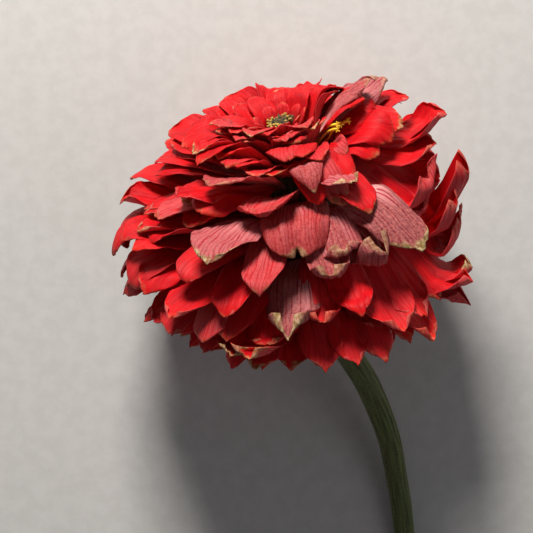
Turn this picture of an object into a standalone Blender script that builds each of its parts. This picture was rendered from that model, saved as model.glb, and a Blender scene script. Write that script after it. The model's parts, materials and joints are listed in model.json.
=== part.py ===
"""A double zinnia head on its cut stem, lying on its side: a receptacle and stem, rows of bracts, ray florets and disc florets."""

import math

import bmesh
import bpy
import numpy as np

for obj in list(bpy.data.objects):
    bpy.data.objects.remove(obj)

MM = 0.001
GOLDEN = math.radians(137.507764)

# ---------- how the head lies ----------
LEAN = math.radians(15.0)        # turn of the head's axis in plan
RISE = math.radians(27.0)        # rise of the head's axis above the table
HEAD_HEIGHT = 38.0               # mm, head centre above the table before the petals are pressed
PLACE = np.array([5.35, 33.4, 0.0])   # mm, head centre in plan from the middle of the whole object's footprint
AXIS = np.array([-math.sin(LEAN)*math.cos(RISE), math.cos(LEAN)*math.cos(RISE), math.sin(RISE)])
SIDE = np.array([math.cos(LEAN), math.sin(LEAN), 0.0])
UNDER = np.cross(AXIS, SIDE)     # across the axis, towards the table
HEAD_RADIUS = 48.0               # mm
SAG_SIDE = -5.7                  # mm, the petal mass has slid this far to one side
SAG_TILT = math.tan(math.radians(11.0))
SPREAD_AT = math.radians(6.0)    # azimuth where the upper petals stand out stiffly
SPREAD_HALF = math.radians(42.0)
SPREAD_OUT = 9.0                 # mm
SPREAD_UP = 8.0                  # mm
PRESS = 3.0                      # mm, how gently the underside flattens on the table
SETTLE = 0.45                    # mm, the pressed petals' own last drop to the table

# ---------- the layers of the head: layer 0 is next to the bracts, layer 1 at the disc ----------
LAYER = np.array([0.0, 0.15, 0.30, 0.45, 0.60, 0.75, 0.88, 1.0])
BASE_R = np.array([7.0, 9.0, 10.0, 10.2, 9.6, 8.4, 6.6, 4.4])
BASE_Z = np.array([-16.5, -11.5, -5.0, 2.5, 10.5, 18.5, 25.5, 31.5])
SLOPE_OUT = np.radians([21.0, 26.0, 33.0, 38.0, 42.0, 47.0, 59.0, 80.0])
SLOPE_END = np.radians([-40.0, -51.0, -59.0, -62.0, -58.0, -40.0, -25.0, 20.0])
REACH = np.array([32.0, 37.0, 41.0, 41.0, 36.5, 29.5, 20.5, 10.2])
S_MAX, S_STEP, N_LAYER = 60.0, 0.5, 101


def through(x, xk, yk):
    """A smooth curve through the knots."""
    h = np.diff(xk)
    d = np.diff(yk)/h
    m = np.concatenate([[d[0]], (d[:-1]*h[1:]+d[1:]*h[:-1])/(h[1:]+h[:-1]), [d[-1]]])
    x = np.asarray(x, float)
    i = np.clip(np.searchsorted(xk, x, side="right")-1, 0, len(h)-1)
    t = (x-xk[i])/h[i]
    a, b = t*t, t*t*t
    return (2*b-3*a+1)*yk[i]+(b-2*a+t)*h[i]*m[i]+(3*a-2*b)*yk[i+1]+(b-a)*h[i]*m[i+1]


def layer_tables():
    """Radius, height, slope and spacing of every layer's fountain curve."""
    q = np.linspace(0, 1, N_LAYER)
    r0, z0, b0, b1, lr = (through(q, LAYER, k)[:, None] for k in (BASE_R, BASE_Z, SLOPE_OUT, SLOPE_END, REACH))
    s = np.arange(0, S_MAX+S_STEP/2, S_STEP)[None, :]
    t = s/lr
    beta = b0+(b1-b0)*np.where(t < 1, 0.35*t+0.65*t**2.2, 1+0.15*(1-np.exp(-(t-1)*3)))
    mid = (beta[:, 1:]+beta[:, :-1])/2
    zero = np.zeros((N_LAYER, 1))
    r = r0+np.concatenate([zero, np.cumsum(np.cos(mid)*S_STEP, 1)], 1)
    z = z0+np.concatenate([zero, np.cumsum(np.sin(mid)*S_STEP, 1)], 1)
    gap = -np.gradient(r, q, axis=0)*np.sin(beta)+np.gradient(z, q, axis=0)*np.cos(beta)
    return r, z, beta, gap


T_R, T_Z, T_BETA, T_GAP = layer_tables()


def layer_at(q, s, *tables):
    """The tables at layer q and distance s from the base, running straight on beyond their ends."""
    a = np.clip(q, 0, 1)*(N_LAYER-1)
    i = np.minimum(a.astype(int), N_LAYER-2)
    b = np.clip(s, 0, S_MAX)/S_STEP
    j = np.minimum(b.astype(int), T_R.shape[1]-2)
    fa, fb = a-i, b-j
    return [t[i, j]*(1-fa)*(1-fb)+t[i+1, j]*fa*(1-fb)+t[i, j+1]*(1-fa)*fb+t[i+1, j+1]*fa*fb for t in tables]


def ramp(x, a, b):
    t = np.clip((x-a)/(b-a), 0, 1)
    return t*t*(3-2*t)


def lay_down(p):
    """Head coordinates (mm) to world (mm): the petals sag, the head leans over and its underside presses flat."""
    x, y, z = p[..., 0], p[..., 1], p[..., 2]
    r = np.maximum(np.hypot(x, y), 1e-6)
    turn = np.abs((np.arctan2(y, x)-SPREAD_AT+math.pi) % (2*math.pi)-math.pi)
    stiff = np.cos(np.clip(turn/SPREAD_HALF, 0, 1)*math.pi/2)**2*ramp(z, -2, 14)
    out = 1+stiff*SPREAD_OUT*ramp(r, 12, 50)/r
    z = z+stiff*SPREAD_UP*ramp(r, 12, 46)
    w = np.clip((r-9.0)/(HEAD_RADIUS-9.0), 0, 1.3)
    x, y, z = x*out+SAG_SIDE*w, y*out, z-SAG_TILT*x*w
    world = x[..., None]*SIDE+y[..., None]*UNDER+z[..., None]*AXIS
    world[..., 2] += HEAD_HEIGHT
    up = world[..., 2]
    world[..., 2] = np.where(up > 12*PRESS, up, PRESS*np.log1p(np.exp(np.minimum(up, 12*PRESS)/PRESS)))-SETTLE
    return world+PLACE


def head_point(az, s, q):
    """World position (mm) at azimuth, distance along the petal and layer."""
    r, z, beta = layer_at(q, s, T_R, T_Z, T_BETA)
    back = np.minimum(s, 0)
    over = np.maximum(s-S_MAX, 0)
    low, high = np.minimum(q, 0)*24, np.maximum(q-1, 0)*40
    r = r+(back+over)*np.cos(beta)-(low+high)*np.sin(beta)
    z = z+(back+over)*np.sin(beta)+(low+high)*np.cos(beta)
    return lay_down(np.stack([r*np.cos(az), r*np.sin(az), z], -1))


# ---------- the florets ----------
# name: azimuth deg, layer at the tip, length mm, width mm, cup (+ edges up), roll (+ tip turns out, - under) deg,
#       twist deg, bend deg, pale (0 scarlet .. 1 withered pink and buff), tip (0 round, 1 pointed, -1 notched)
RAYS = {
    "left_01": (168, 0.49, 45, 13.0, -0.5, 0, 6, 0, 0.0, 0),
    "left_02": (167.5, 0.57, 39, 11.0, 0.4, 0, -4, 0, 0.0, 1),
    "left_03": (172, 0.33, 42, 12.5, 0.5, 0, 10, 0, 0.0, 0),
    "left_04": (180, 0.26, 40, 12.0, -0.4, 10, -8, -2, 0.15, 0),
    "left_05": (158, 0.76, 29, 12.5, 0.6, -10, 6, 0, 0.0, 0),
    "left_06": (140, 0.80, 28, 11.0, 0.5, 10, -8, 2, 0.0, 0),
    "left_07": (128, 0.86, 23, 10.0, -0.4, 0, 6, 0, 0.0, 1),
    "left_08": (116, 0.80, 28, 10.0, 0.5, 12, 0, 3, 0.0, 0),
    "left_09": (118, 0.895, 20, 9.5, 0.5, 8, -8, 0, 0.05, 0),
    "left_10": (204, 0.72, 31, 10.5, 0.7, -14, 8, 3, 0.35, 0),
    "left_11": (182, 0.86, 22, 10.5, 0.6, 8, -6, 0, 0.0, 0),
    "left_12": (214, 0.85, 23, 11.0, 0.7, -8, 8, -3, 0.0, 0),
    "left_13": (216, 0.78, 28, 11.5, -0.6, 10, -10, 3, 0.0, 0),
    "left_14": (208, 0.64, 35, 11.5, 0.6, 0, 8, -3, 0.0, 0),
    "left_15": (190, 0.58, 38, 12.0, -0.5, 8, -6, 3, 0.0, 0),
    "left_16": (187, 0.70, 31, 11.5, 0.5, 0, 10, 0, 0.0, 1),
    "left_17": (197, 0.41, 41, 12.0, 0.5, 0, -8, 2, 0.1, 0),
    "top_01": (66, 0.90, 23, 15.5, 0.9, -18, 0, 0, 0.0, -1),
    "top_02": (25, 0.92, 20, 11.0, 0.9, -14, -12, -6, 0.05, 0),
    "top_03": (96, 0.88, 23, 10.0, 0.6, 8, 8, 0, 0.0, 0),
    "top_04": (42, 0.84, 27, 9.0, 0.6, 10, 8, 4, 0.1, 0),
    "right_01": (17, 0.84, 32, 8.0, 0.5, 8, 8, -2, 0.0, 1),
    "right_02": (8, 0.87, 29, 10.0, -0.9, -16, 14, 2, 0.8, 0),
    "right_03": (356, 0.90, 24, 10.5, -0.8, 10, -12, 4, 0.65, 0),
    "right_04": (2, 0.80, 38, 10.5, 0.5, 8, -8, 0, 0.0, 0),
    "right_05": (353, 0.755, 40, 8.5, 0.6, 0, 6, 0, 0.0, 1),
    "right_06": (341, 0.845, 28, 10.0, 0.5, -10, 10, 0, 0.0, 0),
    "right_07": (341, 0.77, 35, 12.5, 1.0, -18, 6, 0, 0.1, 0),
    "right_08": (350, 0.645, 40, 12.8, 0.5, -12, 6, 0, 0.0, 0),
    "right_09": (343, 0.46, 43, 11.5, -0.7, 8, -8, 3, 0.1, 0),
    "right_10": (336, 0.34, 40, 8.4, 0.5, 10, 9, 0, 0.3, 1),
    "flank_01": (314, 0.60, 40, 13.0, -0.8, 10, 10, -4, 0.8, 0),
    "flank_02": (296, 0.78, 28, 10.0, -0.6, 12, -8, 2, 0.65, 0),
    "flank_03": (283, 0.80, 28, 7.5, -0.5, 8, 4, 0, 0.6, 1),
    "flank_04": (303, 0.71, 32, 10.0, 0.6, 0, -8, 0, 0.0, 0),
    "flank_05": (287, 0.63, 35, 10.0, -0.7, 12, 8, 0, 0.7, 0),
    "flank_06": (295, 0.54, 39, 10.0, -0.6, 14, 10, 3, 0.75, 1),
    "flank_07": (279, 0.59, 37, 10.0, 0.7, -12, -8, 0, 0.7, 0),
    "flank_08": (297, 0.42, 41, 12.5, 0.5, 8, 4, 0, 0.0, 0),
    "flank_09": (307, 0.38, 41, 11.5, 0.6, 8, -8, 0, 0.0, 0),
    "flank_10": (286, 0.505, 40, 10.5, -0.5, 0, 8, 0, 0.0, 0),
    "flank_11": (273, 0.47, 40, 10.5, 0.6, 0, -6, 0, 0.1, 0),
    "front_01": (238, 0.78, 28, 12.5, -0.6, 10, 8, -3, 0.55, 0),
    "front_02": (240, 0.585, 38, 12.5, -0.7, 8, -6, 0, 0.65, 0),
    "front_03": (256, 0.68, 32, 11.5, 0.7, -8, 10, 2, 0.3, 0),
    "front_04": (270, 0.66, 34, 14.5, -0.8, -10, -6, 0, 0.5, -1),
    "front_05": (255, 0.53, 39, 12.0, 0.5, 8, 6, 0, 0.35, 0),
    "front_06": (259, 0.405, 41, 11.5, -0.5, 0, 9, 3, 0.8, 1),
    "front_07": (227, 0.44, 41, 13.0, 0.6, 8, 8, -3, 0.0, 0),
    "front_08": (228, 0.56, 38, 10.0, 0.6, -8, -8, 0, 0.1, 0),
    "front_09": (243, 0.46, 40, 12.5, 0.7, 10, 4, 0, 0.0, 0),
    "front_10": (248, 0.33, 41, 12.0, 0.5, 8, -6, 0, 0.0, 0),
    "front_11": (232, 0.33, 40, 11.0, -0.6, 14, 10, 0, 0.25, 0),
    "front_12": (216, 0.32, 40, 11.0, 0.5, 0, -8, 0, 0.1, 0),
}
# florets that are joined at the root by a scrap of receptacle
PAIRS = {
    "left_pair_1": ("left_03", "left_17"), "left_pair_2": ("left_04", "front_12"), "left_pair_3": ("left_15", "left_14"),
    "left_pair_4": ("left_16", "left_10"), "left_pair_5": ("left_13", "front_01"), "left_pair_6": ("left_11", "left_12"),
    "top_pair_1": ("left_06", "left_08"), "top_pair_2": ("right_01", "top_04"),
    "front_pair_1": ("front_07", "front_09"), "front_pair_2": ("front_11", "front_10"), "front_pair_3": ("front_08", "front_02"),
    "flank_pair_1": ("flank_11", "flank_08"), "flank_pair_2": ("right_09", "flank_09"), "flank_pair_3": ("flank_05", "flank_01"),
}
# arcs of smaller or hidden florets that share a base: first azimuth, last azimuth, how many, layer, length, width, roll, pale
FANS = {
    "inner_fan_1": (188, 293, 6, 0.885, 17.0, 7.0, 6, 0.25),
    "inner_fan_2": (196, 300, 5, 0.93, 11.9, 5.6, -14, 0.15),
    "inner_fan_3": (46, 168, 5, 0.93, 13.0, 5.8, -10, 0.05),
    "disc_fan": (0, 320, 9, 1.0, 5.9, 3.0, -20, 0.1),
    "mid_fan_1": (233, 292, 4, 0.835, 20.7, 8.5, 0, 0.15),
    "low_fan_1": (200, 290, 5, 0.20, 38.0, 10.0, 6, 0.1),
    "low_fan_2": (292, 342, 3, 0.26, 33.0, 10.0, 4, 0.15),
    "low_fan_3": (190, 296, 6, 0.07, 33.0, 10.0, 4, 0.15),
    "back_fan_1": (10, 172, 9, 0.09, 33.0, 11.0, 0, 0.1),
    "back_fan_2": (22, 160, 8, 0.22, 37.0, 11.5, 0, 0.1),
    "back_fan_3": (14, 150, 7, 0.35, 39.0, 11.5, 4, 0.0),
    "back_fan_4": (24, 152, 7, 0.47, 38.9, 11.5, 4, 0.0),
    "back_fan_5": (30, 150, 7, 0.59, 35.5, 11.5, 6, 0.0),
    "back_fan_6": (38, 136, 5, 0.71, 31.1, 11.0, 6, 0.05),
}
TASSEL = dict(azimuth=330, layer=0.87, length=16.0, strands=4, width=0.8)   # yellow disc florets shown on the opened flank

# extra clearance between pieces that crowd each other, mm
CROWDED = {
    ("disc_fan", "inner_fan_2"): 0.6,
    ("disc_fan", "inner_fan_3"): 0.6,
    ("disc_tassel", "inner_fan_1"): 0.4,
    ("disc_tassel", "inner_fan_2"): 0.2,
    ("inner_fan_1", "inner_fan_2"): 0.3,
    ("inner_fan_1", "mid_fan_1"): 0.2,
    ("inner_fan_3", "ray_top_02"): 0.6,
    ("ray_flank_pair_2", "ray_right_08"): 0.6,
    ("ray_right_05", "ray_right_08"): 0.3,
    ("ray_left_02", "ray_left_pair_3"): 0.25,
    ("back_fan_4", "ray_left_01"): 0.3,
    ("ray_flank_02", "ray_flank_03"): 0.85,
    ("ray_flank_06", "ray_flank_10"): 0.1,
    ("ray_front_06", "ray_front_pair_2"): 0.5,
    ("ray_left_09", "ray_top_01"): 0.2,
}

STATIONS = np.arange(0.0, 52.0, 4.0)


def half_width(width, v):
    """Half the blade's width at share v of its length: a claw, a broad middle, a rounded end."""
    rise = np.sin(np.clip(v/0.76, 0, 1)*math.pi/2)**1.3
    return np.maximum(width/2*(0.2+0.8*rise)*(1-0.30*np.clip((v-0.76)/0.24, 0, 1)**2.2), 0.4)


def florets():
    out = []
    joined = {one: pair for pair, both in PAIRS.items() for one in both}
    for name, row in RAYS.items():
        out.append(dict(zip(("az", "q", "length", "width", "cup", "roll", "twist", "bend", "pale", "tip"), row),
                        node="ray_"+joined.get(name, name), fan=False))
    rng = np.random.default_rng(31)
    for name, (first, last, count, q, length, width, roll, pale) in FANS.items():
        last += 360*(last <= first)
        for k in range(count):
            jitter = rng.uniform(-1, 1, 6)
            out.append(dict(az=first+(last-first)*(k+0.25*jitter[0]*(0 < k < count-1))/(count-1), q=q, length=length*(1+0.05*jitter[1]),
                            width=width*(1+0.06*jitter[2]), cup=0.4 if k % 2 else -0.4, roll=roll,
                            twist=6*jitter[4], bend=1.5*jitter[5], pale=pale, tip=0, node=name, fan=True))
    t = TASSEL
    for k in range(t["strands"]):
        out.append(dict(az=t["azimuth"]+(k-(t["strands"]-1)/2)*6.5, q=t["layer"], length=t["length"]*(1-0.06*(k % 3)), width=t["width"],
                        cup=0, roll=0, twist=0, bend=0, pale=0, tip=0, node="disc_tassel", fan=True))
    for i, f in enumerate(out):
        f["az"] = math.radians(f["az"])
        f["bend"] = math.radians(f["bend"])
        f["seed"] = i
    settle(out)
    return out


def stack(wish, need, meets, low, high):
    """Layers nearest to the wished ones, in their order, where each that meets another lies at least need above it."""
    n = len(wish)
    top, bottom = np.full(n, high), np.full(n, low)
    for i in range(n-2, -1, -1):
        j = np.flatnonzero(meets[i, i+1:])+i+1
        top[i] = min([high, *(top[j]-need[i, j])])
    for j in range(1, n):
        i = np.flatnonzero(meets[j, :j])
        bottom[j] = max([low, *(bottom[i]+need[i, j])])
    rising, falling = np.zeros(n), np.zeros(n)
    for j in range(n):
        i = np.flatnonzero(meets[j, :j])
        rising[j] = min(max([wish[j], bottom[j], *(rising[i]+need[i, j])]), top[j])
    for i in range(n-1, -1, -1):
        j = np.flatnonzero(meets[i, i+1:])+i+1
        falling[i] = max(min([wish[i], top[i], *(falling[j]-need[i, j])]), bottom[i])
    return (rising+falling)/2, top-bottom


def settle(fl):
    """Spreads the layers of florets that share an azimuth, so that each lies clear above the one below."""
    n, m = len(fl), len(STATIONS)
    az = np.array([f["az"] for f in fl])
    length = np.array([f["length"] for f in fl])
    wish = np.array([f["q"]+0.004*(f["seed"] % 2)*f["fan"] for f in fl])
    lift = np.array([0.2+abs(f["cup"])*f["width"]*0.05+math.sin(math.radians(abs(f["twist"])))*f["width"]*0.25
                     + math.tan(math.radians(abs(f["roll"])))*f["length"]*0.02 for f in fl])
    order = np.argsort(wish+1e-6*np.arange(n))
    extra = np.zeros((n, n))
    for (a, b), more in CROWDED.items():
        ia, ib = ([i for i in range(n) if fl[i]["node"] == c] for c in (a, b))
        extra[np.ix_(ia, ib)] = extra[np.ix_(ib, ia)] = more
    turn = np.abs((az[:, None]-az[None, :]+math.pi) % (2*math.pi)-math.pi)
    q = np.repeat(wish[:, None], m, 1)
    units = {}
    for i, f in enumerate(fl):
        units.setdefault(f["node"], []).append(i)
    units = [np.array(v) for v in units.values()]
    units.sort(key=lambda g: wish[g].mean())
    spans = []
    for g in units:
        near = az[g[0]]+(az[g]-az[g[0]]+math.pi) % (2*math.pi)-math.pi if len(g) < 3 else az[g]
        spans.append((near.min()-0.14, near.max()+0.14))
    root_meets = np.array([[a != b and ((c-p) % (2*math.pi) < d-p or (p-c) % (2*math.pi) < e-c)
                            for b, (c, e) in enumerate(spans)] for a, (p, d) in enumerate(spans)])
    for turnround in range(3):
        gap, = layer_at(q, np.repeat(STATIONS[None, :], n, 0), T_GAP)
        radius, = layer_at(q, np.repeat(STATIONS[None, :], n, 0), T_R)
        for k in range(m):
            if k == 0:
                mean_gap = np.array([gap[g, 0].mean() for g in units])
                need = 0.75/(0.5*(mean_gap[:, None]+mean_gap[None, :]))
                laid, room = stack(np.array([q[g, 0].mean() for g in units]), need, root_meets, 0.02, 1.0)
                for g, value in zip(units, laid):
                    q[g, 0] = value
                continue
            half = np.array([half_width(f["width"], min(STATIONS[k]/f["length"], 1.0)) for f in fl])
            wide = np.arctan2(half+0.4, np.maximum(radius[:, k], 3.0))
            here = length+3.0 >= STATIONS[k]
            meets = (turn < wide[:, None]+wide[None, :]) & here[:, None] & here[None, :]
            share = min(1.0, STATIONS[k]/14.0)
            need = (0.75+0.25*share+extra+share*(lift[:, None]+lift[None, :]))/(0.5*(gap[:, None, k]+gap[None, :, k]))
            laid, room = stack(q[order, k], need[np.ix_(order, order)], meets[np.ix_(order, order)], 0.02, 1.0)
            q[order, k] = laid
        if turnround < 2:
            q[:, 1:-1] = 0.4*q[:, 1:-1]+0.3*(q[:, :-2]+q[:, 2:])
    for i, f in enumerate(fl):
        f["layers"] = q[i]
    return fl


def blade(f, u, v):
    """World points (mm) of a floret's blade at u across (-1..1) and v along (0..1)."""
    end = f["length"]*(1-(0.2 if f["tip"] <= 0 else 0.3)*np.abs(u)**2.4)
    if f["tip"] < 0:
        end = end-0.11*f["length"]*np.exp(-(u/0.22)**2)
    s = end*v
    half = half_width(f["width"], v)
    if f["tip"] > 0:
        half = half*(1-0.45*ramp(v, 0.62, 1.0))
    turned = math.radians(f["twist"])*ramp(v, 0.15, 1.0)
    across = u*half*np.cos(turned)
    h = 0.2*f["cup"]*half*(1.5*u*u-0.5)*ramp(v, 0.05, 0.6)+u*half*np.sin(turned)
    h = h+0.5*math.tan(math.radians(f["roll"]))*0.35*f["length"]*np.clip((v-0.65)/0.35, 0, 1)**2
    q = np.interp(s, STATIONS, f["layers"])
    r, gap = layer_at(q, s, T_R, T_GAP)
    return head_point(f["az"]+f["bend"]*v**1.6+across/np.maximum(r, 4.0), s, q+h/np.maximum(gap, 8.0))


# ---------- sizes of the other pieces ----------
PETAL_THICK = 0.34               # mm
TASSEL_THICK = 0.5
FAN_ROOT = 1.3                   # mm, depth of the shared base of a fan
ACROSS, ALONG = 3, 5             # faces across and along a single floret
FAN_ACROSS, FAN_ALONG = 2, 4
CONE_GAP = 0.85                  # mm, between the florets' roots and the cone
STEM_R_NECK, STEM_R_END = 3.4, 2.6   # mm
STEM_STEPS = 16
STEM_PATH = np.array([           # mm, from the cut end to the neck; plan position from the head centre, and height
    (28.5, -112.0, 2.6), (28.0, -94.0, 2.6), (26.6, -77.5, 3.4), (24.6, -65.0, 6.0), (21.8, -52.5, 10.6), (16.4, -39.5, 17.4),
    (9.6, -28.5, 24.2)])
BRACTS = 11
BRACT_ROWS = [                   # mm: radius and height of each row from its collar to its tips, in the head
    [(4.5, -21.0), (8.6, -20.7), (12.4, -18.9)],
    [(5.0, -19.5), (9.2, -19.1), (13.2, -17.2)],
    [(5.7, -18.1), (9.6, -17.9), (12.5, -16.9)],
]
DISC_R, DISC_Z, DISC_FLORET = 1.9, 32.8, 2.3   # mm


def linked(name, mesh, colour, rough=0.6):
    obj = bpy.data.objects.new(name, mesh)
    flower.objects.link(obj)
    mat = bpy.data.materials.new(name)
    mat.use_nodes = True
    bsdf = mat.node_tree.nodes["Principled BSDF"]
    bsdf.inputs["Base Color"].default_value = (*colour, 1)
    bsdf.inputs["Roughness"].default_value = rough
    mesh.materials.append(mat)
    return obj


def thicken(obj, mm):
    for poly in obj.data.polygons:
        poly.use_smooth = True
    mod = obj.modifiers.new("Solidify", "SOLIDIFY")
    mod.thickness = mm*MM
    mod.offset = 0
    return obj


def shaped_grid(bm, columns, rows, place):
    """A grid of the given faces, its vertices moved by place(x, y) with x and y in 0..1."""
    made = bmesh.ops.create_grid(bm, x_segments=columns, y_segments=rows, size=0.5)["verts"]
    x = np.array([v.co.x+0.5 for v in made])
    y = np.array([v.co.y+0.5 for v in made])
    for v, p in zip(made, place(x, y)):
        v.co = p*MM
    return made


def petal_colour(pale):
    red, old = np.array([0.60, 0.012, 0.018]), np.array([0.62, 0.30, 0.32])
    return tuple(red*(1-pale)+old*pale)


def floret_node(name, group):
    bm = bmesh.new()
    fan = len(group) > 1
    across, along = (FAN_ACROSS, FAN_ALONG) if group[0]["fan"] else (ACROSS, ALONG)
    thin = name == "disc_tassel" or name == "disc_fan"
    if thin:
        across, along = 1, 4
    for f in group:
        shaped_grid(bm, across, along, lambda x, y, f=f: blade(f, 2*x-1, y))
    if fan:
        group = sorted(group, key=lambda f: f["az"])
        columns = len(group)*(across+1)-1

        def root(x, y):
            k = np.rint(x*columns).astype(int)
            az, q = np.zeros(len(x)), np.zeros(len(x))
            for i, (which, place) in enumerate(zip(k//(across+1), k % (across+1))):
                f = group[which]
                r, = layer_at(np.array([f["layers"][0]]), np.array([0.0]), T_R)
                az[i] = f["az"]+(2*place/across-1)*half_width(f["width"], 0.0)/max(r[0], 4.0)
                q[i] = f["layers"][0]
            return head_point(az, (y-1)*FAN_ROOT, q)
        shaped_grid(bm, columns, 1, root)
        bmesh.ops.remove_doubles(bm, verts=bm.verts, dist=1e-5)
    bmesh.ops.recalc_face_normals(bm, faces=bm.faces)
    mesh = bpy.data.meshes.new(name)
    bm.to_mesh(mesh)
    bm.free()
    pale = group[0]["pale"]
    colour = (0.75, 0.42, 0.03) if name == "disc_tassel" else petal_colour(pale)
    return thicken(linked(name, mesh, colour), TASSEL_THICK if name == "disc_tassel" else PETAL_THICK)


def axis_point(z):
    """World point (mm) on the head's own axis."""
    return AXIS*z+np.array([0, 0, HEAD_HEIGHT])+PLACE


def stem_and_receptacle():
    """One grown piece: the cut stem, its neck and the cone that carries the florets."""
    knots = np.arange(len(STEM_PATH))
    fine = np.linspace(0, knots[-1], STEM_STEPS)
    stem = np.stack([through(fine, knots, STEM_PATH[:, k]) for k in range(3)], -1)
    stem_r = STEM_R_END+(STEM_R_NECK-STEM_R_END)*ramp(fine/knots[-1], 0.1, 1.0)
    stem[:, 2] = np.maximum(stem[:, 2], stem_r)
    stem += PLACE
    cone_r = BASE_R-FAN_ROOT*np.cos(SLOPE_OUT)-CONE_GAP
    cone_z = BASE_Z-FAN_ROOT*np.sin(SLOPE_OUT)
    z = np.concatenate([[-23.0, -20.5, -18.8], cone_z])
    r = np.concatenate([[STEM_R_NECK, 3.6, 4.1], cone_r])
    points = np.concatenate([stem, [axis_point(k) for k in z]])
    radii = np.concatenate([stem_r, r])
    curve = bpy.data.curves.new("stem_and_receptacle", "CURVE")
    curve.dimensions = "3D"
    curve.bevel_depth = MM
    curve.bevel_resolution = 4
    curve.use_fill_caps = True
    line = curve.splines.new("POLY")
    line.points.add(len(points)-1)
    for at, p, radius in zip(line.points, points, radii):
        at.co = (*(p*MM), 1)
        at.radius = radius
    line.use_smooth = True
    return linked("stem_and_receptacle", curve, (0.10, 0.13, 0.035))


def bract_row(name, row):
    """A ring of overlapping scales, grown together below their free tips."""
    profile = np.array(BRACT_ROWS[row])
    bm = bmesh.new()

    def ring(x, y):
        az = 2*math.pi*(x+0.5*row/BRACTS)
        tip = np.abs(np.cos(az*BRACTS/2+math.pi*row/2))**0.8
        along = y*(len(profile)-1)*(1-0.22*(1-tip)*y)
        r = np.interp(along, np.arange(len(profile)), profile[:, 0])
        z = np.interp(along, np.arange(len(profile)), profile[:, 1])
        return lay_down(np.stack([r*np.cos(az), r*np.sin(az), z], -1))
    shaped_grid(bm, 4*BRACTS, 2, ring)
    bmesh.ops.remove_doubles(bm, verts=bm.verts, dist=1e-5)
    bmesh.ops.recalc_face_normals(bm, faces=bm.faces)
    mesh = bpy.data.meshes.new(name)
    bm.to_mesh(mesh)
    bm.free()
    return thicken(linked(name, mesh, (0.12, 0.16, 0.05)), PETAL_THICK)


def disc():
    """The disc: a small dome crowded with unopened florets."""
    bm = bmesh.new()
    bmesh.ops.create_icosphere(bm, subdivisions=2, radius=DISC_R)
    upper = [face for face in bm.faces if face.normal.z > 0.15]
    bmesh.ops.inset_individual(bm, faces=upper, thickness=0.14)
    rng = np.random.default_rng(7)
    for face in bmesh.ops.extrude_discrete_faces(bm, faces=upper)["faces"]:
        out = face.normal.copy()
        out.z += 2.4
        out.normalize()
        middle = face.calc_center_median()
        rise = DISC_FLORET*(0.75+0.5*rng.random())
        for v in face.verts:
            v.co = middle+(v.co-middle)*0.62+out*rise
    at = np.array([v.co for v in bm.verts])
    at[:, 2] = np.maximum(at[:, 2], -0.8*DISC_R)+DISC_Z
    for v, p in zip(bm.verts, lay_down(at)):
        v.co = p*MM
    bmesh.ops.recalc_face_normals(bm, faces=bm.faces)
    mesh = bpy.data.meshes.new("disc_florets")
    bm.to_mesh(mesh)
    bm.free()
    return linked("disc_florets", mesh, (0.16, 0.10, 0.03))


flower = bpy.data.collections.new("zinnia_flower")
bpy.context.scene.collection.children.link(flower)
stem_and_receptacle()
for row in range(len(BRACT_ROWS)):
    bract_row(f"bract_row_{row+1}", row)
disc()
BY_NODE = {}
for f in florets():
    BY_NODE.setdefault(f["node"], []).append(f)
for name, group in BY_NODE.items():
    floret_node(name, group)
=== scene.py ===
"""Looks for the lying zinnia: every floret, bract, disc floret and the stem as fine closed meshes with node materials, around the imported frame."""

import json
import math

import bpy
import numpy as np
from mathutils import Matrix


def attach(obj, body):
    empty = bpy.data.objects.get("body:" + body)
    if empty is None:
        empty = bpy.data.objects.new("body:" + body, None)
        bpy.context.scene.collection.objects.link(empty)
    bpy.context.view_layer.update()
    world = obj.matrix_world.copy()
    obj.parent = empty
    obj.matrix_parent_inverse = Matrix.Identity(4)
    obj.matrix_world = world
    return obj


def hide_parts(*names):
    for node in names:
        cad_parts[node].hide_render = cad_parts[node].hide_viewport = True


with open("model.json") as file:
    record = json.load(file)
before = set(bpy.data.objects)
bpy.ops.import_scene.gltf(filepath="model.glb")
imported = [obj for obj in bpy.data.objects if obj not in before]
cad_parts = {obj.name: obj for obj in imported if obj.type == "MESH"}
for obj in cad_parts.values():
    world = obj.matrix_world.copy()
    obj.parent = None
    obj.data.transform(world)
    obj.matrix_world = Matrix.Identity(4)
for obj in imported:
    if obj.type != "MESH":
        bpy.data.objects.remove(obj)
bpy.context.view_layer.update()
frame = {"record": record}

MM = 0.001
GOLDEN = math.radians(137.507764)

# ---------- how the head lies ----------
LEAN = math.radians(15.0)        # turn of the head's axis in plan
RISE = math.radians(27.0)        # rise of the head's axis above the table
HEAD_HEIGHT = 38.0               # mm, head centre above the table before the petals are pressed
PLACE = np.array([5.35, 33.4, 0.0])   # mm, head centre in plan from the middle of the whole object's footprint
AXIS = np.array([-math.sin(LEAN)*math.cos(RISE), math.cos(LEAN)*math.cos(RISE), math.sin(RISE)])
SIDE = np.array([math.cos(LEAN), math.sin(LEAN), 0.0])
UNDER = np.cross(AXIS, SIDE)     # across the axis, towards the table
HEAD_RADIUS = 48.0               # mm
SAG_SIDE = -5.7                  # mm, the petal mass has slid this far to one side
SAG_TILT = math.tan(math.radians(11.0))
SPREAD_AT = math.radians(6.0)    # azimuth where the upper petals stand out stiffly
SPREAD_HALF = math.radians(42.0)
SPREAD_OUT = 9.0                 # mm
SPREAD_UP = 8.0                  # mm
PRESS = 3.0                      # mm, how gently the underside flattens on the table
SETTLE = 0.45                    # mm, the pressed petals' own last drop to the table

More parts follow.
